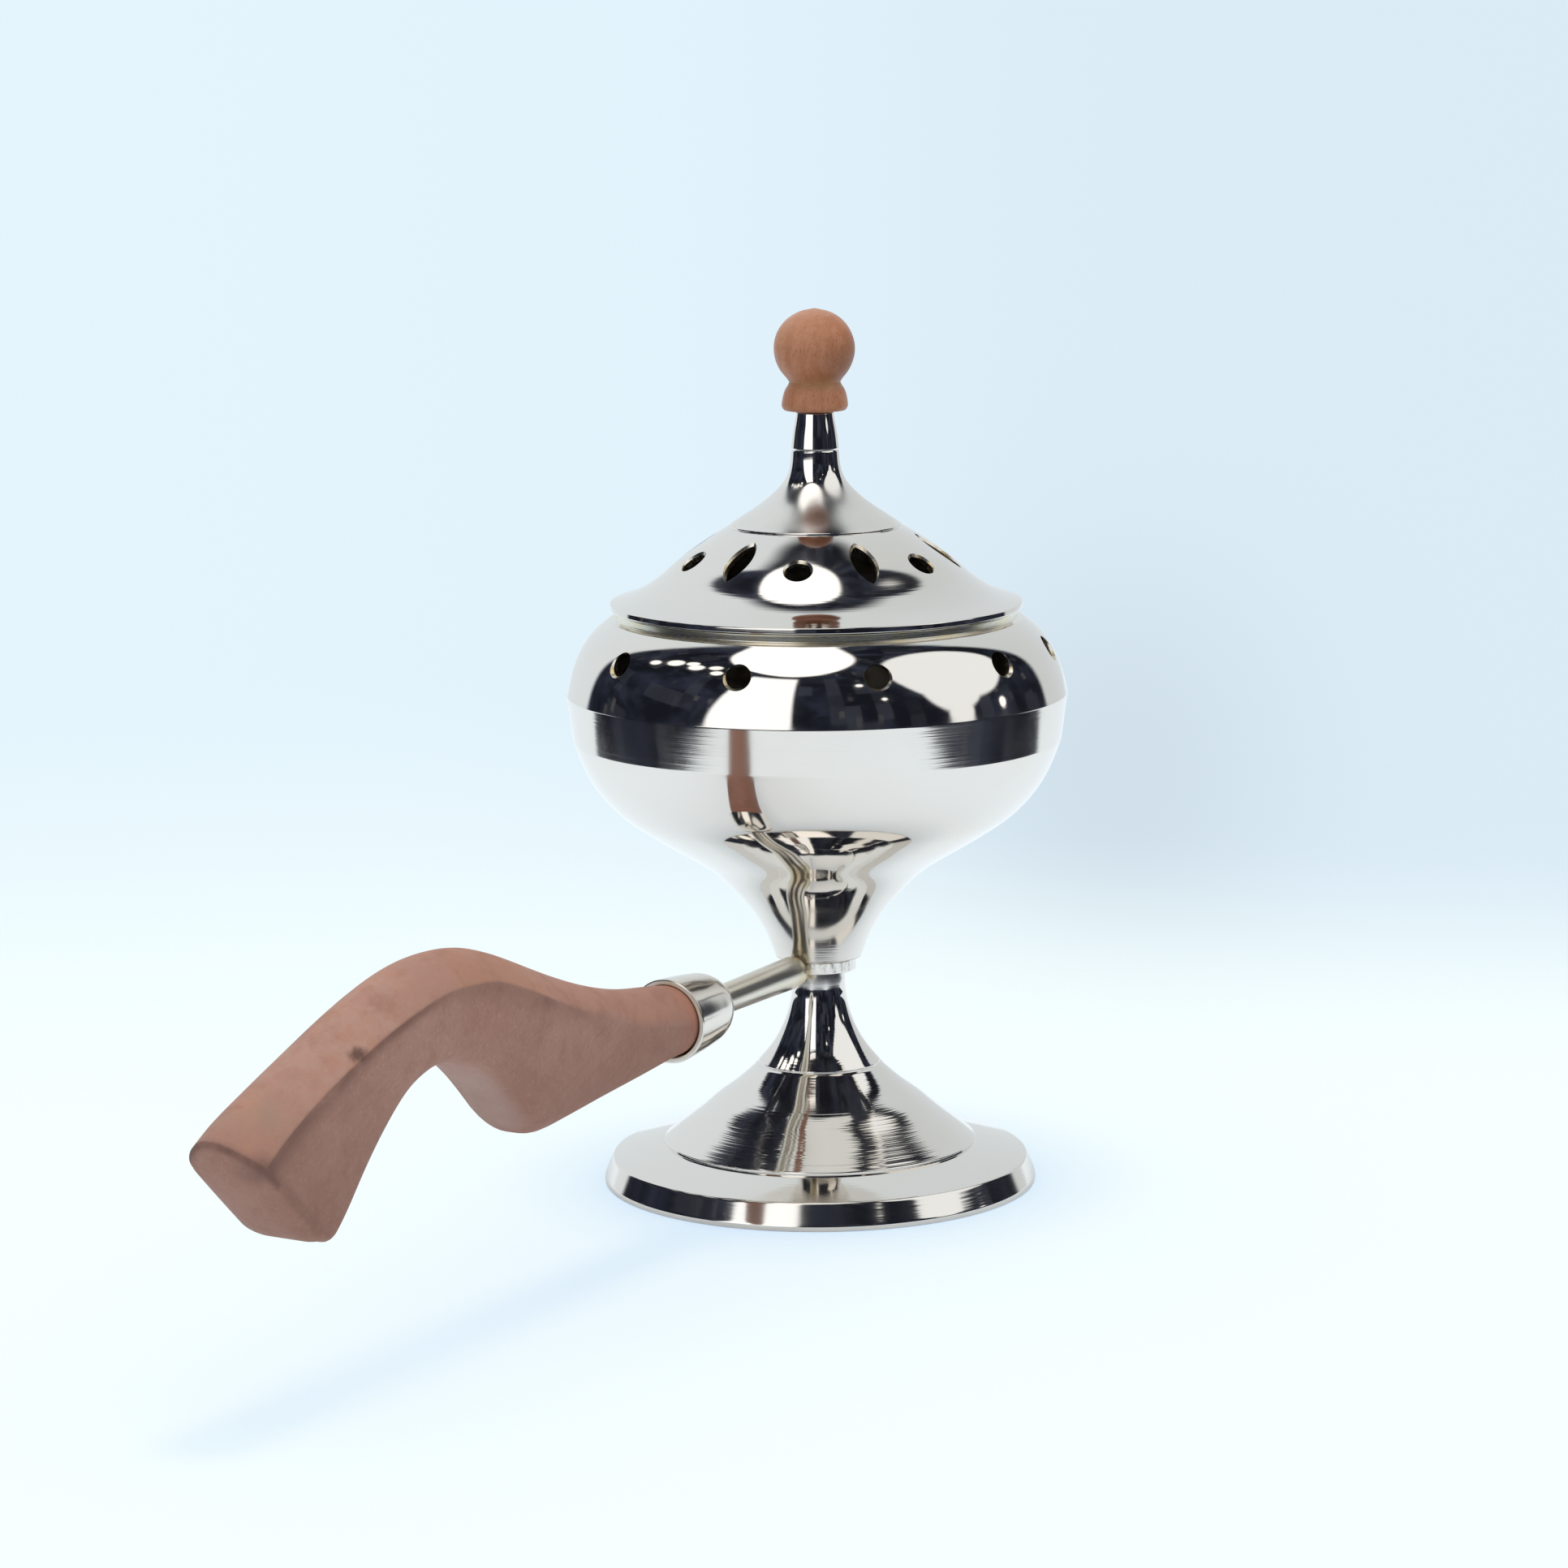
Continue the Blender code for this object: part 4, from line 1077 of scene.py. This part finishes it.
rod = revolve("handle_rod_drawn", rod_line, 72, [rod_nickel("rod_drawn_nickel")],
              warp=solder, along_handle=True)
near = rod.data.attributes.new("near", "FLOAT", "POINT")
zs = []
for i, (r, z) in enumerate(rod_line):
    count = 1 if i in (0, len(rod_line) - 1) else 72
    zs += [max(0.0, min(1.0, (14.5 - z) / 4.0))] * count
near.data.foreach_set("value", zs)
finish_piece(rod, "handle_rod", HANDLE)

ferrule_line = turned_line([
    (2.9, 41.35, 0.15), (4.6, 41.85), (6.0, 43.2), (6.9, 45.4), (7.42, 49.0), (7.84, 52.9),
    (8.16, 57.3, 0.2), (8.22, 58.2, 0.28), (7.18, 58.2, 0.22), (6.9, 53.0), (6.4, 48.6),
    (5.6, 46.0), (4.6, 44.0), (2.9, 43.2, 0.15)], step=0.5, sigma=0.6)
lip = wobble((0.05, 2, 0.0, 0.7), (0.03, 5, 0.0, 1.9))


def lip_wave(r, z, theta):
    return r, z + (lip(theta, 0.0) if z > 57.7 else 0.0)


ferrule = revolve("ferrule_turned", ferrule_line, 144,
                  [nickel("ferrule_nickel", rings=1.1, pitch=1.3, ragged=0.8, rough=0.15, warm=0.18)],
                  warp=lip_wave, along_handle=True)
ferrule.data.materials.append(lip_brass("ferrule_lip_brass", dull=0.42, metal=0.35))
tint_rings(ferrule, ferrule_line, 144, (8.0, 58.2), (7.0, 54.0), 1)
finish_piece(ferrule, "ferrule", HANDLE)

# --- the grip: ribs of (top, bottom, half width, rise of the crown, lower corner)
RIBS = [
    ((47.0, 49.6), (47.0, 38.0), 5.8, 5.8, 5.8),
    ((56.5, 50.4), (56.5, 36.9), 6.7, 6.7, 6.7),
    ((63.0, 51.4), (62.0, 36.8), 7.1, 6.9, 6.9),
    ((76.0, 53.2), (74.0, 35.8), 7.3, 6.4, 6.8),
    ((90.0, 56.9), (88.0, 34.8), 7.5, 6.2, 6.6),
    ((102.0, 61.3), (101.0, 33.7), 7.6, 6.2, 6.4),
    ((113.0, 65.8), (110.5, 33.1), 7.6, 5.9, 6.4),
    ((121.0, 68.8), (115.0, 35.0), 7.6, 6.2, 6.8),
    ((129.0, 71.0), (118.8, 39.0), 7.6, 6.2, 7.2),
    ((137.0, 71.9), (123.9, 44.2), 7.6, 6.8, 7.2),
    ((146.0, 71.7), (131.2, 49.8), 7.6, 7.0, 6.6),
    ((155.2, 70.0), (141.2, 52.6), 7.6, 7.1, 5.4),
    ((165.4, 66.8), (151.6, 50.6), 7.6, 6.4, 4.6),
    ((176.5, 62.5), (159.4, 45.4), 7.6, 6.0, 4.4),
    ((187.5, 58.3), (166.4, 39.2), 7.7, 6.2, 4.2),
    ((197.4, 54.6), (172.8, 32.7), 7.9, 7.2, 4.0),
    ((202.9, 51.6), (178.4, 28.2), 8.1, 7.4, 3.8)]
RING = 112


def rib_points(row, crease):
    """One section of the grip, in (along, across, height): a crowned top that
    meets flat sides at a ridge once crease is 1, and runs into them at 0."""
    (ts, tz, bs, bz, half_w, rise, corner) = row
    up = np.array([ts - bs, tz - bz])
    height = np.linalg.norm(up)
    up /= height
    out, ridge, top = [], [], []
    half = RING // 2
    for k in range(RING):
        side = 1.0 if k < half else -1.0
        t = (k if k < half else RING - k) / half
        if t <= 0.36:
            u = math.sin(t / 0.36 * math.radians(90.0))
            e = 1.0 - math.sqrt(max(0.0, 1.0 - u * u))
            # a shallow crown, eased over at the ridge itself
            p = 0.94 * u ** 1.7 + 0.06 * u ** 8
            h = height - rise * (e * (1 - crease) + p * crease)
            across = half_w * u
            if crease > 0:
                across -= 0.22 * crease * max(0.0, (u - 0.97) / 0.03)
        elif t <= 0.68:
            f = (t - 0.36) / 0.32
            h = (height - rise) * (1.0 - f) + corner * f
            across = half_w
            belly = math.sin(math.pi * min(1.0, f * 1.0))
            across += 0.10 * crease * belly
            if crease > 0:
                across -= 0.22 * crease * max(0.0, 1.0 - f / 0.05)
        else:
            a = (t - 0.68) / 0.32 * math.radians(90.0)
            across = half_w - corner * (1.0 - math.cos(a))
            h = corner * (1.0 - math.sin(a))
            if corner < half_w:
                across = half_w - corner * (1.0 - math.cos(a)) - (half_w - corner) * max(
                    0.0, (t - 0.84) / 0.16) ** 1.0
                if t < 0.84:
                    a = (t - 0.68) / 0.16 * math.radians(90.0)
                    across = half_w - corner * (1.0 - math.cos(a))
                    h = corner * (1.0 - math.sin(a))
                else:
                    f = (t - 0.84) / 0.16
                    across = (half_w - corner) * (1.0 - f)
                    h = 0.0
        p = np.array([bs, bz]) + up * h
        out.append((p[0], side * across, p[1]))
        d = h - (height - rise)
        ridge.append(math.exp(-((abs(t - 0.365)) / 0.042) ** 2) * crease)
        top.append(1.0 if t < 0.31 else max(0.0, 1.0 - (t - 0.31) / 0.09))
    return out, ridge, top


def cap_ring(last, centre, q, lift):
    """The end section drawn in by q and lifted off the grip's end."""
    out_n = np.array([0.7071, 0.0, -0.7071])
    return centre + (last - centre) * (1.0 - q) + out_n * lift


def grip_mesh():
    rows = np.array([(a[0], a[1], b[0], b[1], w, r, c) for a, b, w, r, c in RIBS], float)
    dense = []
    n = len(rows)
    ext = np.vstack([2 * rows[0] - rows[1], rows, 2 * rows[-1] - rows[-2]])
    per = 11
    for i in range(1, n):
        p0, p1, p2, p3 = ext[i - 1], ext[i], ext[i + 1], ext[i + 2]
        for k in range(per):
            t = k / per
            dense.append(0.5 * ((2 * p1) + (-p0 + p2) * t + (2 * p0 - 5 * p1 + 4 * p2 - p3) * t * t
                                + (-p0 + 3 * p1 - 3 * p2 + p3) * t ** 3))
    dense.append(rows[-1])
    dense = np.array(dense)
    # even out the outline, most of all along the long curves
    for _ in range(14):
        dense[1:-1] = dense[1:-1] * 0.5 + (dense[:-2] + dense[2:]) * 0.25
    # the leg's inner corner is rounded off at the end
    gone = np.concatenate([[0.0], np.cumsum(np.hypot(np.diff(dense[:, 2]), np.diff(dense[:, 3])))])
    rest = gone[-1] - gone
    round_r = 3.2
    cut_back = np.where(rest < round_r, round_r - np.sqrt(np.maximum(0.0, round_r ** 2 - (round_r - rest) ** 2)), 0.0)
    up_dir = dense[:, 0:2] - dense[:, 2:4]
    up_dir /= np.linalg.norm(up_dir, axis=1)[:, None]
    dense[:, 2:4] += up_dir * (cut_back * 0.8)[:, None]
    rings, ridge, top, edge, near_f, painted_bounce_light = [], [], [], [], [], []
    under = np.array([min(1.0, max(0.0, ((k if k < RING // 2 else RING - k) / (RING // 2) - 0.735) / 0.06))
                      for k in range(RING)])
    for row in dense:
        s = (row[0] + row[2]) / 2
        # mask of the painted light on the underside by the heel
        turn_in = min(1.0, max(0.0, (row[2] - 113.5) / 2.5)) * min(1.0, max(0.0, (134.0 - row[2]) / 8.0))
        painted_bounce_light.append(list(under * turn_in))
        crease = min(1.0, max(0.0, (s - 88.0) / 22.0))
        crease = crease * crease * (3 - 2 * crease)
        pts, rg, tp = rib_points(row, crease)
        rings.append(np.array(pts))
        ridge.append(rg)
        top.append(tp)
        edge.append([0.0] * RING)
        near_f.append([max(0.0, 1.0 - (s - 56.0) / 9.0) if s > 50 else 1.0] * RING)
    # far end: a slightly domed sawn face with broken edges
    last = rings.pop()
    ridge.pop(), top.pop(), edge.pop(), near_f.pop(), painted_bounce_light.pop()
    centre = last.mean(axis=0)
    cap = [(0.0, 0.0), (0.012, 0.26), (0.035, 0.62), (0.075, 1.00), (0.13, 1.32), (0.20, 1.62),
           (0.30, 1.98), (0.42, 2.30), (0.56, 2.56), (0.72, 2.76), (0.88, 2.86), (0.97, 2.88)]
    for q, lift in cap:
        ring = cap_ring(last, centre, q, lift)
        rings.append(ring)
        ridge.append([0.0] * RING)
        top.append([0.0] * RING)
        e = math.exp(-((q - 0.02) / 0.05) ** 2)
        edge.append([e * (1.0 if (k if k < RING // 2 else RING - k) < RING * 0.22 else 0.35)
                     for k in range(RING)])
        near_f.append([0.0] * RING)
        painted_bounce_light.append([0.0] * RING)
    for ring_edge, d in ((-len(cap) - 1, 0.6), (-len(cap) - 2, 0.3)):
        edge[ring_edge] = [d * 0.6] * RING
    verts = np.concatenate(rings)
    pts3 = np.stack([-verts[:, 0], -verts[:, 1], verts[:, 2]], axis=1)
    faces = []
    m = len(rings)
    for i in range(m - 1):
        for k in range(RING):
            j = (k + 1) % RING
            faces.append((i * RING + k, i * RING + j, (i + 1) * RING + j, (i + 1) * RING + k))
    faces.append(tuple(range(RING - 1, -1, -1)))
    faces.append(tuple((m - 1) * RING + k for k in range(RING)))
    ob = new_piece("grip_carved", place_mm(pts3), faces, [grip_wood("grip_sanded_wood")])
    for name, data in (("ridge", ridge), ("top", top), ("edge", edge), ("near", near_f),
                       ("painted_bounce_light", painted_bounce_light)):
        at = ob.data.attributes.new(name, "FLOAT", "POINT")
        at.data.foreach_set("value", np.array(data, np.float32).ravel())
    return ob


grip = grip_mesh()
root_h, along_h, across_h, up_h = handle_frame()
bore_rings = []
for s in (40.0, 97.0):
    bore_rings.append([tuple(root_h + along_h * s + across_h * 2.3 * math.cos(a) + up_h * 2.3 * math.sin(a))
                       for a in [math.tau * k / 40 for k in range(40)]])
carve(grip, cutter_object("tang_drill", [loft_rings(bore_rings)]))
grip.data.set_sharp_from_angle(angle=math.radians(50))
finish_piece(grip, "grip", HANDLE)

# ------------------------------------------------------------------------- lid
lid_up = fair(spline([(4.74, 147.7), (5.0, 144.6), (5.9, 142.1), (8.0, 139.7), (11.0, 137.2),
                      (14.8, 134.7), (17.0, 133.2)]), 1.0)
lid_low = fair(spline([(17.5, 132.75), (18.9, 132.0), (22.4, 129.7), (26.1, 127.2), (28.8, 124.9),
                       (31.4, 122.5), (36.0, 119.6), (41.0, 117.9)]), 1.5)
inner_lid = offset_line(lid_low, -1.4)[::-1]
inner_lid = inner_lid[inner_lid[:, 0] < 33.5]
lid_points = (
    [(1.8, 155.5, C), (3.7, 155.5, 0.2), (3.85, 154.3), (4.3, 152.0), (4.74, 148.35, 0.12),
     (4.58, 148.1, 0.06), (4.74, 147.85, 0.10)]
    + as_points(lid_up, 1.5)[1:-1] + [(17.0, 133.2, 0.12), (17.0, 132.85, 0.06), (17.5, 132.75, 0.12)]
    + as_points(lid_low, 2.0)[1:-1] + [(41.0, 117.9, 0.2), (41.1, 116.8, 0.2), (35.6, 116.8, 0.3)]
    + as_points(inner_lid, 2.5) + [(14.5, 132.9), (11.2, 135.4), (7.9, 137.6, 0.2), (1.8, 137.6, C)])
lid_line = turned_line(lid_points, step=0.7, sigma=0.8)
lid = revolve("lid_turned", lid_line, 192,
              [nickel("lid_nickel", rings=0.7, pitch=1.0, ragged=0.7, rough=0.045,
                      teeth=((1.6, 118.0, 124.0),),
                      satin=((0.16, 133.4, 141.5), (0.02, 118.0, 132.4)))])
lid.data.materials.append(cut_edge("pierced_edge"))
lid.data.materials.append(satin_inside("lid_inside"))
cuts = [drill((26.2, 127.1), (0.55, 0.835), 22.3 + 60.0 * k, 2.65, 0.45, 5.0) for k in range(6)]
cuts += [leaf_cut((24.7, 128.1), (0.55, 0.835), 52.5 + 60.0 * k, 11.5, 4.6, 0.45, 5.0)
         for k in range(6)]
carve(lid, cutter_object("lid_piercing", cuts))
dress_cut(lid, lid_line, regions=(((35.6, 116.9), (7.9, 137.6), 2),))
finish_piece(lid, "lid", LID_BODY)

seat_line = turned_line([(36.3, 116.5, 0.2), (37.7, 116.5, 0.2), (37.7, 113.0, 0.25),
                         (37.3, 112.6, 0.2), (36.3, 112.6, 0.2)], step=0.6, sigma=0.3)
seat = revolve("lid_seat_ring_turned", seat_line, 160, [raw_brass("seat_brass")])
finish_piece(seat, "lid_seat_ring", LID_BODY)

washer("knob_washer_disc", "knob_washer", 1.8, 4.6, 136.5, 137.3,
       zinc_steel("knob_washer_zinc", dull=0.3), body=LID_BODY)


def screw_thread(r, z, theta):
    if r > 1.55 or z < 136.9:
        return r, z
    t = ((z / 0.7 - theta / math.tau) % 1.0)
    return r - 0.2 * (1.0 - abs(2.0 * t - 1.0)), z


screw_line = ([(0.0, 165.8), (0.7, 165.7), (1.3, 165.3)] + [(1.5, 165.1 - 0.09 * k) for k in range(314)]
              + turned_line([(1.5, 136.8), (1.5, 136.2, 0.1), (3.0, 136.2, 0.12), (2.95, 135.2),
                             (2.3, 134.35), (1.2, 133.98), (0.0, 133.9)],
                            step=0.3, sigma=0.2, close=False))
screw = revolve("knob_screw_turned", screw_line, 40, [zinc_steel("screw_zinc", passivate=0.5)],
                warp=screw_thread)
slot_v, slot_f = loft_rings([[(x, y, z) for x, y in ((-5, -0.4), (5, -0.4), (5, 0.4), (-5, 0.4))]
                             for z in (132.0, 135.0)])
carve(screw, cutter_object("screw_slot_cut", [(slot_v, slot_f)]))
screw.data.set_sharp_from_angle(angle=math.radians(35))
finish_piece(screw, "knob_screw", LID_BODY)

knob_points = [(0.0, 175.95), (1.2, 175.72)]
for i in range(1, 12):
    a = math.radians(82.0 - i * 11.6)
    flat = 0.05 * math.sin(3.0 * a + 0.6)
    knob_points.append(((8.05 + flat) * math.cos(a), 167.9 + (7.98 + flat) * math.sin(a)))
knob_points += [(5.1, 161.45, 0.07), (5.35, 160.85), (5.75, 160.3), (6.05, 159.7),
                (6.28, 159.0), (6.45, 158.2), (6.6, 157.2), (6.63, 156.6, 0.3),
                (6.15, 155.85, 0.3), (1.8, 155.8, 0.1),
                (1.8, 166.6, 0.1), (0.0, 166.6)]
knob_line = turned_line(knob_points, step=0.3, sigma=0.3, close=False)
knob_shape = wobble((0.05, 2, 0.0, 0.4), (0.03, 3, 0.3, 1.0), (0.02, 7, 0.8, 0.2))


def knob_uneven(r, z, theta):
    return (r + knob_shape(theta, z) * min(1.0, r / 4.0), z) if r > 2.0 else (r, z)


knob = revolve("knob_ball_turned", knob_line, 128, [knob_wood("knob_turned_wood")],
               warp=knob_uneven)
finish_piece(knob, "knob", LID_BODY)


# ==================================================================== the stage
def floor():
    size, n = 24.0, 96
    verts, faces = [(0.0, 0.0, 0.0)], []
    radii = [0.02 * (size / 0.02) ** (i / 40) for i in range(41)]
    for r in radii:
        verts += [(r * math.cos(math.tau * k / n), r * math.sin(math.tau * k / n), 0.0)
                  for k in range(n)]
    for k in range(n):
        faces.append((0, 1 + k, 1 + (k + 1) % n))
    for i in range(40):
        for k in range(n):
            j = (k + 1) % n
            faces.append((1 + i * n + k, 1 + (i + 1) * n + k, 1 + (i + 1) * n + j, 1 + i * n + j))
    mesh = bpy.data.meshes.new("studio_floor")
    mesh.from_pydata(verts, [], faces)
    ob = bpy.data.objects.new("studio_floor", mesh)
    ob.location = (STEM.x, STEM.y, -0.00002)
    scene.collection.objects.link(ob)
    mat = bpy.data.materials.new("pale_paper")
    mat.use_nodes = True
    g = Graph(mat.node_tree)
    px, py, pz = g.xyz(g.position())
    r = g.m("SQRT", px * px + py * py)
    a = px * RIGHT[0] + py * RIGHT[1]
    b = px * TO_CAM[0] + py * TO_CAM[1]
    fade = g.ramp(r, 0.35, 0.85, 1.0, 0.0) * g.ramp(b, -0.40, 0.02)
    # in the metal the paper ends where the real sheet does
    side = 0.252 - b * 0.18
    sheet = g.ramp(g.m("ABSOLUTE", a) - side, -0.006, 0.006, 1.0, 0.0)
    behind = g.ramp(b, -0.20, -0.17, 1.0, 0.0)
    front = g.ramp(b, 0.30, 0.34, 1.0, 0.0)
    sheet = g.m("MAXIMUM", sheet, behind) * front * g.ramp(r, 0.9, 1.5, 1.0, 0.0)
    lp = g.node("ShaderNodeLightPath")
    glossy = Sock(g, lp.outputs["Is Glossy Ray"])
    camera = Sock(g, lp.outputs["Is Camera Ray"])
    solid = glossy * sheet + camera * fade + (1.0 - glossy) * (1.0 - camera)
    dif = g.node("ShaderNodeBsdfDiffuse")
    fibres = g.noise(g.position(), 900.0, 3.0, 0.6)
    paper = g.mix(fibres * 0.3, (0.93, 0.955, 0.975), (0.955, 0.975, 0.985))
    # seen directly the paper is nearly burnt out, so its shadows are faint and blue
    direct = g.mix(fibres * 0.3, (0.57, 0.42, 0.13), (0.59, 0.44, 0.14))
    g.put(dif.inputs["Color"], g.mix(camera, paper, direct))
    glow = g.node("ShaderNodeEmission")
    g.put(glow.inputs["Color"], g.mix(camera, (0.0, 0.0, 0.0), (0.350, 0.560, 0.870)))
    lit = g.node("ShaderNodeAddShader")
    g.t.links.new(dif.outputs[0], lit.inputs[0])
    g.t.links.new(glow.outputs[0], lit.inputs[1])
    mat.cycles.emission_sampling = "NONE"
    clear = g.node("ShaderNodeBsdfTransparent")
    mixn = g.node("ShaderNodeMixShader")
    g.put(mixn.inputs[0], solid)
    g.t.links.new(clear.outputs[0], mixn.inputs[1])
    g.t.links.new(lit.outputs[0], mixn.inputs[2])
    out = g.node("ShaderNodeOutputMaterial")
    g.t.links.new(mixn.outputs[0], out.inputs["Surface"])
    mesh.materials.append(mat)


floor()


def studio_world():
    """Seen directly: a plain pale backdrop.  Seen in the metal: the dark room in
    front, its window and soft boxes, and the white sweep behind.  To the wood
    and the floor: soft light, strongest from above."""
    world = bpy.data.worlds.new("studio")
    scene.world = world
    world.use_nodes = True
    world.cycles.sampling_method = "NONE"
    g = Graph(world.node_tree)
    tc = g.node("ShaderNodeTexCoord")
    d = Sock(g, tc.outputs["Generated"])
    dx, dy, dz = g.xyz(d)
    a = dx * RIGHT[0] + dy * RIGHT[1]
    b = dx * TO_CAM[0] + dy * TO_CAM[1]
    az = g.m("ARCTAN2", a, b) * (180.0 / math.pi)
    el = g.m("ARCSINE", g.m("MAXIMUM", g.m("MINIMUM", dz, 1.0), -1.0)) * (180.0 / math.pi)
    absaz = g.m("ABSOLUTE", az)

    # --- what the metal sees
    room_shade = g.noise(g.vec(az * 0.035, el * 0.05, 0.0), 1.0, 3.0, 0.6, 0.4)
    blocks = g.noise(g.vec(g.m("SNAP", az + el * 0.06, 7.5), g.m("SNAP", el, 9.0), 0.0), 0.31, 1.0, 0.5)
    small = g.noise(g.vec(g.m("SNAP", az, 2.6), g.m("SNAP", el, 3.4), 7.0), 0.53, 1.0, 0.5)
    dark = g.mix(g.ramp(room_shade, 0.42, 0.68), (0.010, 0.012, 0.019), (0.030, 0.037, 0.062))
    dark = g.mix(g.ramp(blocks, 0.50, 0.64) * 0.6, dark, (0.052, 0.060, 0.080))
    dark = g.mix(g.ramp(small, 0.66, 0.74) * 0.45, dark, (0.13, 0.13, 0.13))
    sweep = g.ramp(absaz, 127.0, 131.0) * g.ramp(el, 60.0, 70.0, 1.0, 0.0)
    cloth = g.mix(g.ramp(a, -0.75, 0.75), (0.83, 0.905, 0.955), (0.70, 0.755, 0.79))
    env = g.mix(sweep, dark, cloth)
    # window at the viewer's left, its far side leaning with the wall
    window = (g.ramp(az - el * 0.30, -59.2, -56.2) * g.ramp(az, -13.2, -10.8, 1.0, 0.0)
              * g.band(el, 3.0, 53.0, 1.5))
    env = g.mix(window, env, (1.35, 1.40, 1.45))
    # round soft box at the right
    round_box = None
    for ca, ce, cr, low in ((82.0, 43.0, 26.0, 17.0), (72.5, 30.0, 15.5, 6.0),
                             (71.0, 15.0, 6.5, 2.0)):
        sa, se = math.radians(ca), math.radians(ce)
        dot = (a * (math.sin(sa) * math.cos(se)) + b * (math.cos(sa) * math.cos(se)) + dz * math.sin(se))
        disc = g.ramp(dot, math.cos(math.radians(cr + 1.2)), math.cos(math.radians(cr - 1.2))) \
            * g.ramp(el, low, low + 3.0)
        round_box = disc if round_box is None else g.m("MAXIMUM", round_box, disc)
    env = g.mix(round_box, env, (1.02, 1.06, 1.08))
    # soft box overhead
    up = g.m("MAXIMUM", dz, 0.001)
    ta, tb = a / up, b / up
    oval = g.m("SQRT", (ta + 0.14) * (ta + 0.14) * 8.6 + (tb - 0.19) * (tb - 0.19) * 4.9)
    top_box = g.ramp(oval, 1.04, 0.96) * g.ramp(dz, 0.1, 0.2)
    env = g.mix(top_box, env, (1.45, 1.47, 1.48))
    # small lamps high at the left
    lamps = None
    for la, le, lr in ((-100.0, 47.0, 2.8), (-92.0, 52.0, 2.0), (-84.0, 50.0, 2.6),
                       (-74.0, 55.0, 2.1), (-66.0, 50.0, 2.0), (-108.0, 40.0, 2.0),
                       (96.0, 12.0, 1.6), (24.0, 44.0, 1.2), (34.0, 30.0, 1.0)):
        sa, se = math.radians(la), math.radians(le)
        dd = (a * (math.sin(sa) * math.cos(se)) + b * (math.cos(sa) * math.cos(se)) + dz * math.sin(se))
        one = g.ramp(dd, math.cos(math.radians(lr * 1.5)), math.cos(math.radians(lr)))
        lamps = one if lamps is None else g.m("MAXIMUM", lamps, one)
    env = g.mix(lamps, env, (1.5, 1.5, 1.45))

    # --- what the wood and the floor see
    amb = g.ramp(el, 0.0, 75.0, 0.38, 1.30) + g.ramp(absaz, 90.0, 150.0) * 0.14
    n = g.node("ShaderNodeVectorMath", operation="SCALE")
    g.put(n.inputs[0], (0.90, 0.985, 1.05))
    g.put(n.inputs[3], amb)
    ambient = Sock(g, n.outputs[0])

    # --- what the camera sees: the paper rolling up into a backdrop that is
    # lighter on the left and softly shaded behind the right of the bowl
    rightward = g.ramp(a, -0.10, 0.10)
    rise = g.ramp(el, -11.8 - rightward * 1.6, -8.2 - rightward * 2.4)
    back = g.mix(rise, (0.890, 0.980, 1.0), (0.735, 0.862, 0.960))
    back = g.mix(g.ramp(a, -0.17, 0.17, 0.5, 0.0), back, (0.82, 0.955, 1.0))
    u, v = (a - 0.062) / 0.034, (el + 9.6) / 2.3
    shade = g.m("EXPONENT", (u * u + v * v) * -1.0) * 0.115
    back = g.mix(shade + g.ramp(a, -0.03, 0.05) * rise * 0.035, back, (0.0, 0.0, 0.0))

    lp = g.node("ShaderNodeLightPath")
    col = g.mix(Sock(g, lp.outputs["Is Glossy Ray"]), ambient, env)
    col = g.mix(Sock(g, lp.outputs["Is Camera Ray"]), col, back)
    bg = g.node("ShaderNodeBackground")
    g.put(bg.inputs["Color"], col)
    out = g.node("ShaderNodeOutputWorld")
    g.t.links.new(bg.outputs[0], out.inputs["Surface"])


studio_world()


def soft_lamp(name, place, aim, size, watts, colour):
    data = bpy.data.lights.new(name, "AREA")
    data.shape = "DISK"
    data.size = size
    data.energy = watts
    data.color = colour
    ob = bpy.data.objects.new(name, data)
    ob.location = Vector(place) + STEM
    ob.rotation_mode = "QUATERNION"
    ob.rotation_quaternion = (Vector(aim) - Vector(place)).to_track_quat("-Z", "Y")
    ob.visible_glossy = False
    ob.visible_camera = False
    scene.collection.objects.link(ob)
    return ob


soft_lamp("overhead_soft", (-0.02, 0.0, 0.85), (-0.02, 0.0, 0.0), 0.22, 1.15, (1.0, 0.97, 0.93))

# camera: the photograph's place, tilt and lens
p, yaw, roll, focal = math.radians(9.75), math.radians(-0.40), math.radians(-0.47), 5985.0
F = Vector((math.sin(yaw) * math.cos(p), math.cos(yaw) * math.cos(p), -math.sin(p)))
side = F.cross(Vector((0, 0, 1))).normalized()
upv = side.cross(F)
R2 = math.cos(roll) * side + math.sin(roll) * upv
U2 = -math.sin(roll) * side + math.cos(roll) * upv
turn = Matrix.Rotation(math.radians(-60.0), 3, "Z")
F, R2, U2 = turn @ F, turn @ R2, turn @ U2
eye_point = turn @ Vector((0.0, -0.9585, 0.2456)) + STEM
cam_data = bpy.data.cameras.new("camera")
cam_data.sensor_width = 36.0
cam_data.lens = 36.0 * focal / 1932.0
cam_data.clip_start, cam_data.clip_end = 0.01, 30.0
cam = bpy.data.objects.new("camera", cam_data)
m = Matrix((R2, U2, -F)).transposed().to_4x4()
m.translation = eye_point
cam.matrix_world = m
scene.collection.objects.link(cam)
scene.camera = cam

scene.view_settings.view_transform = "Standard"
scene.view_settings.look = "None"
scene.view_settings.exposure = 0.0
scene.view_settings.gamma = 1.0

bpy.context.view_layer.update()
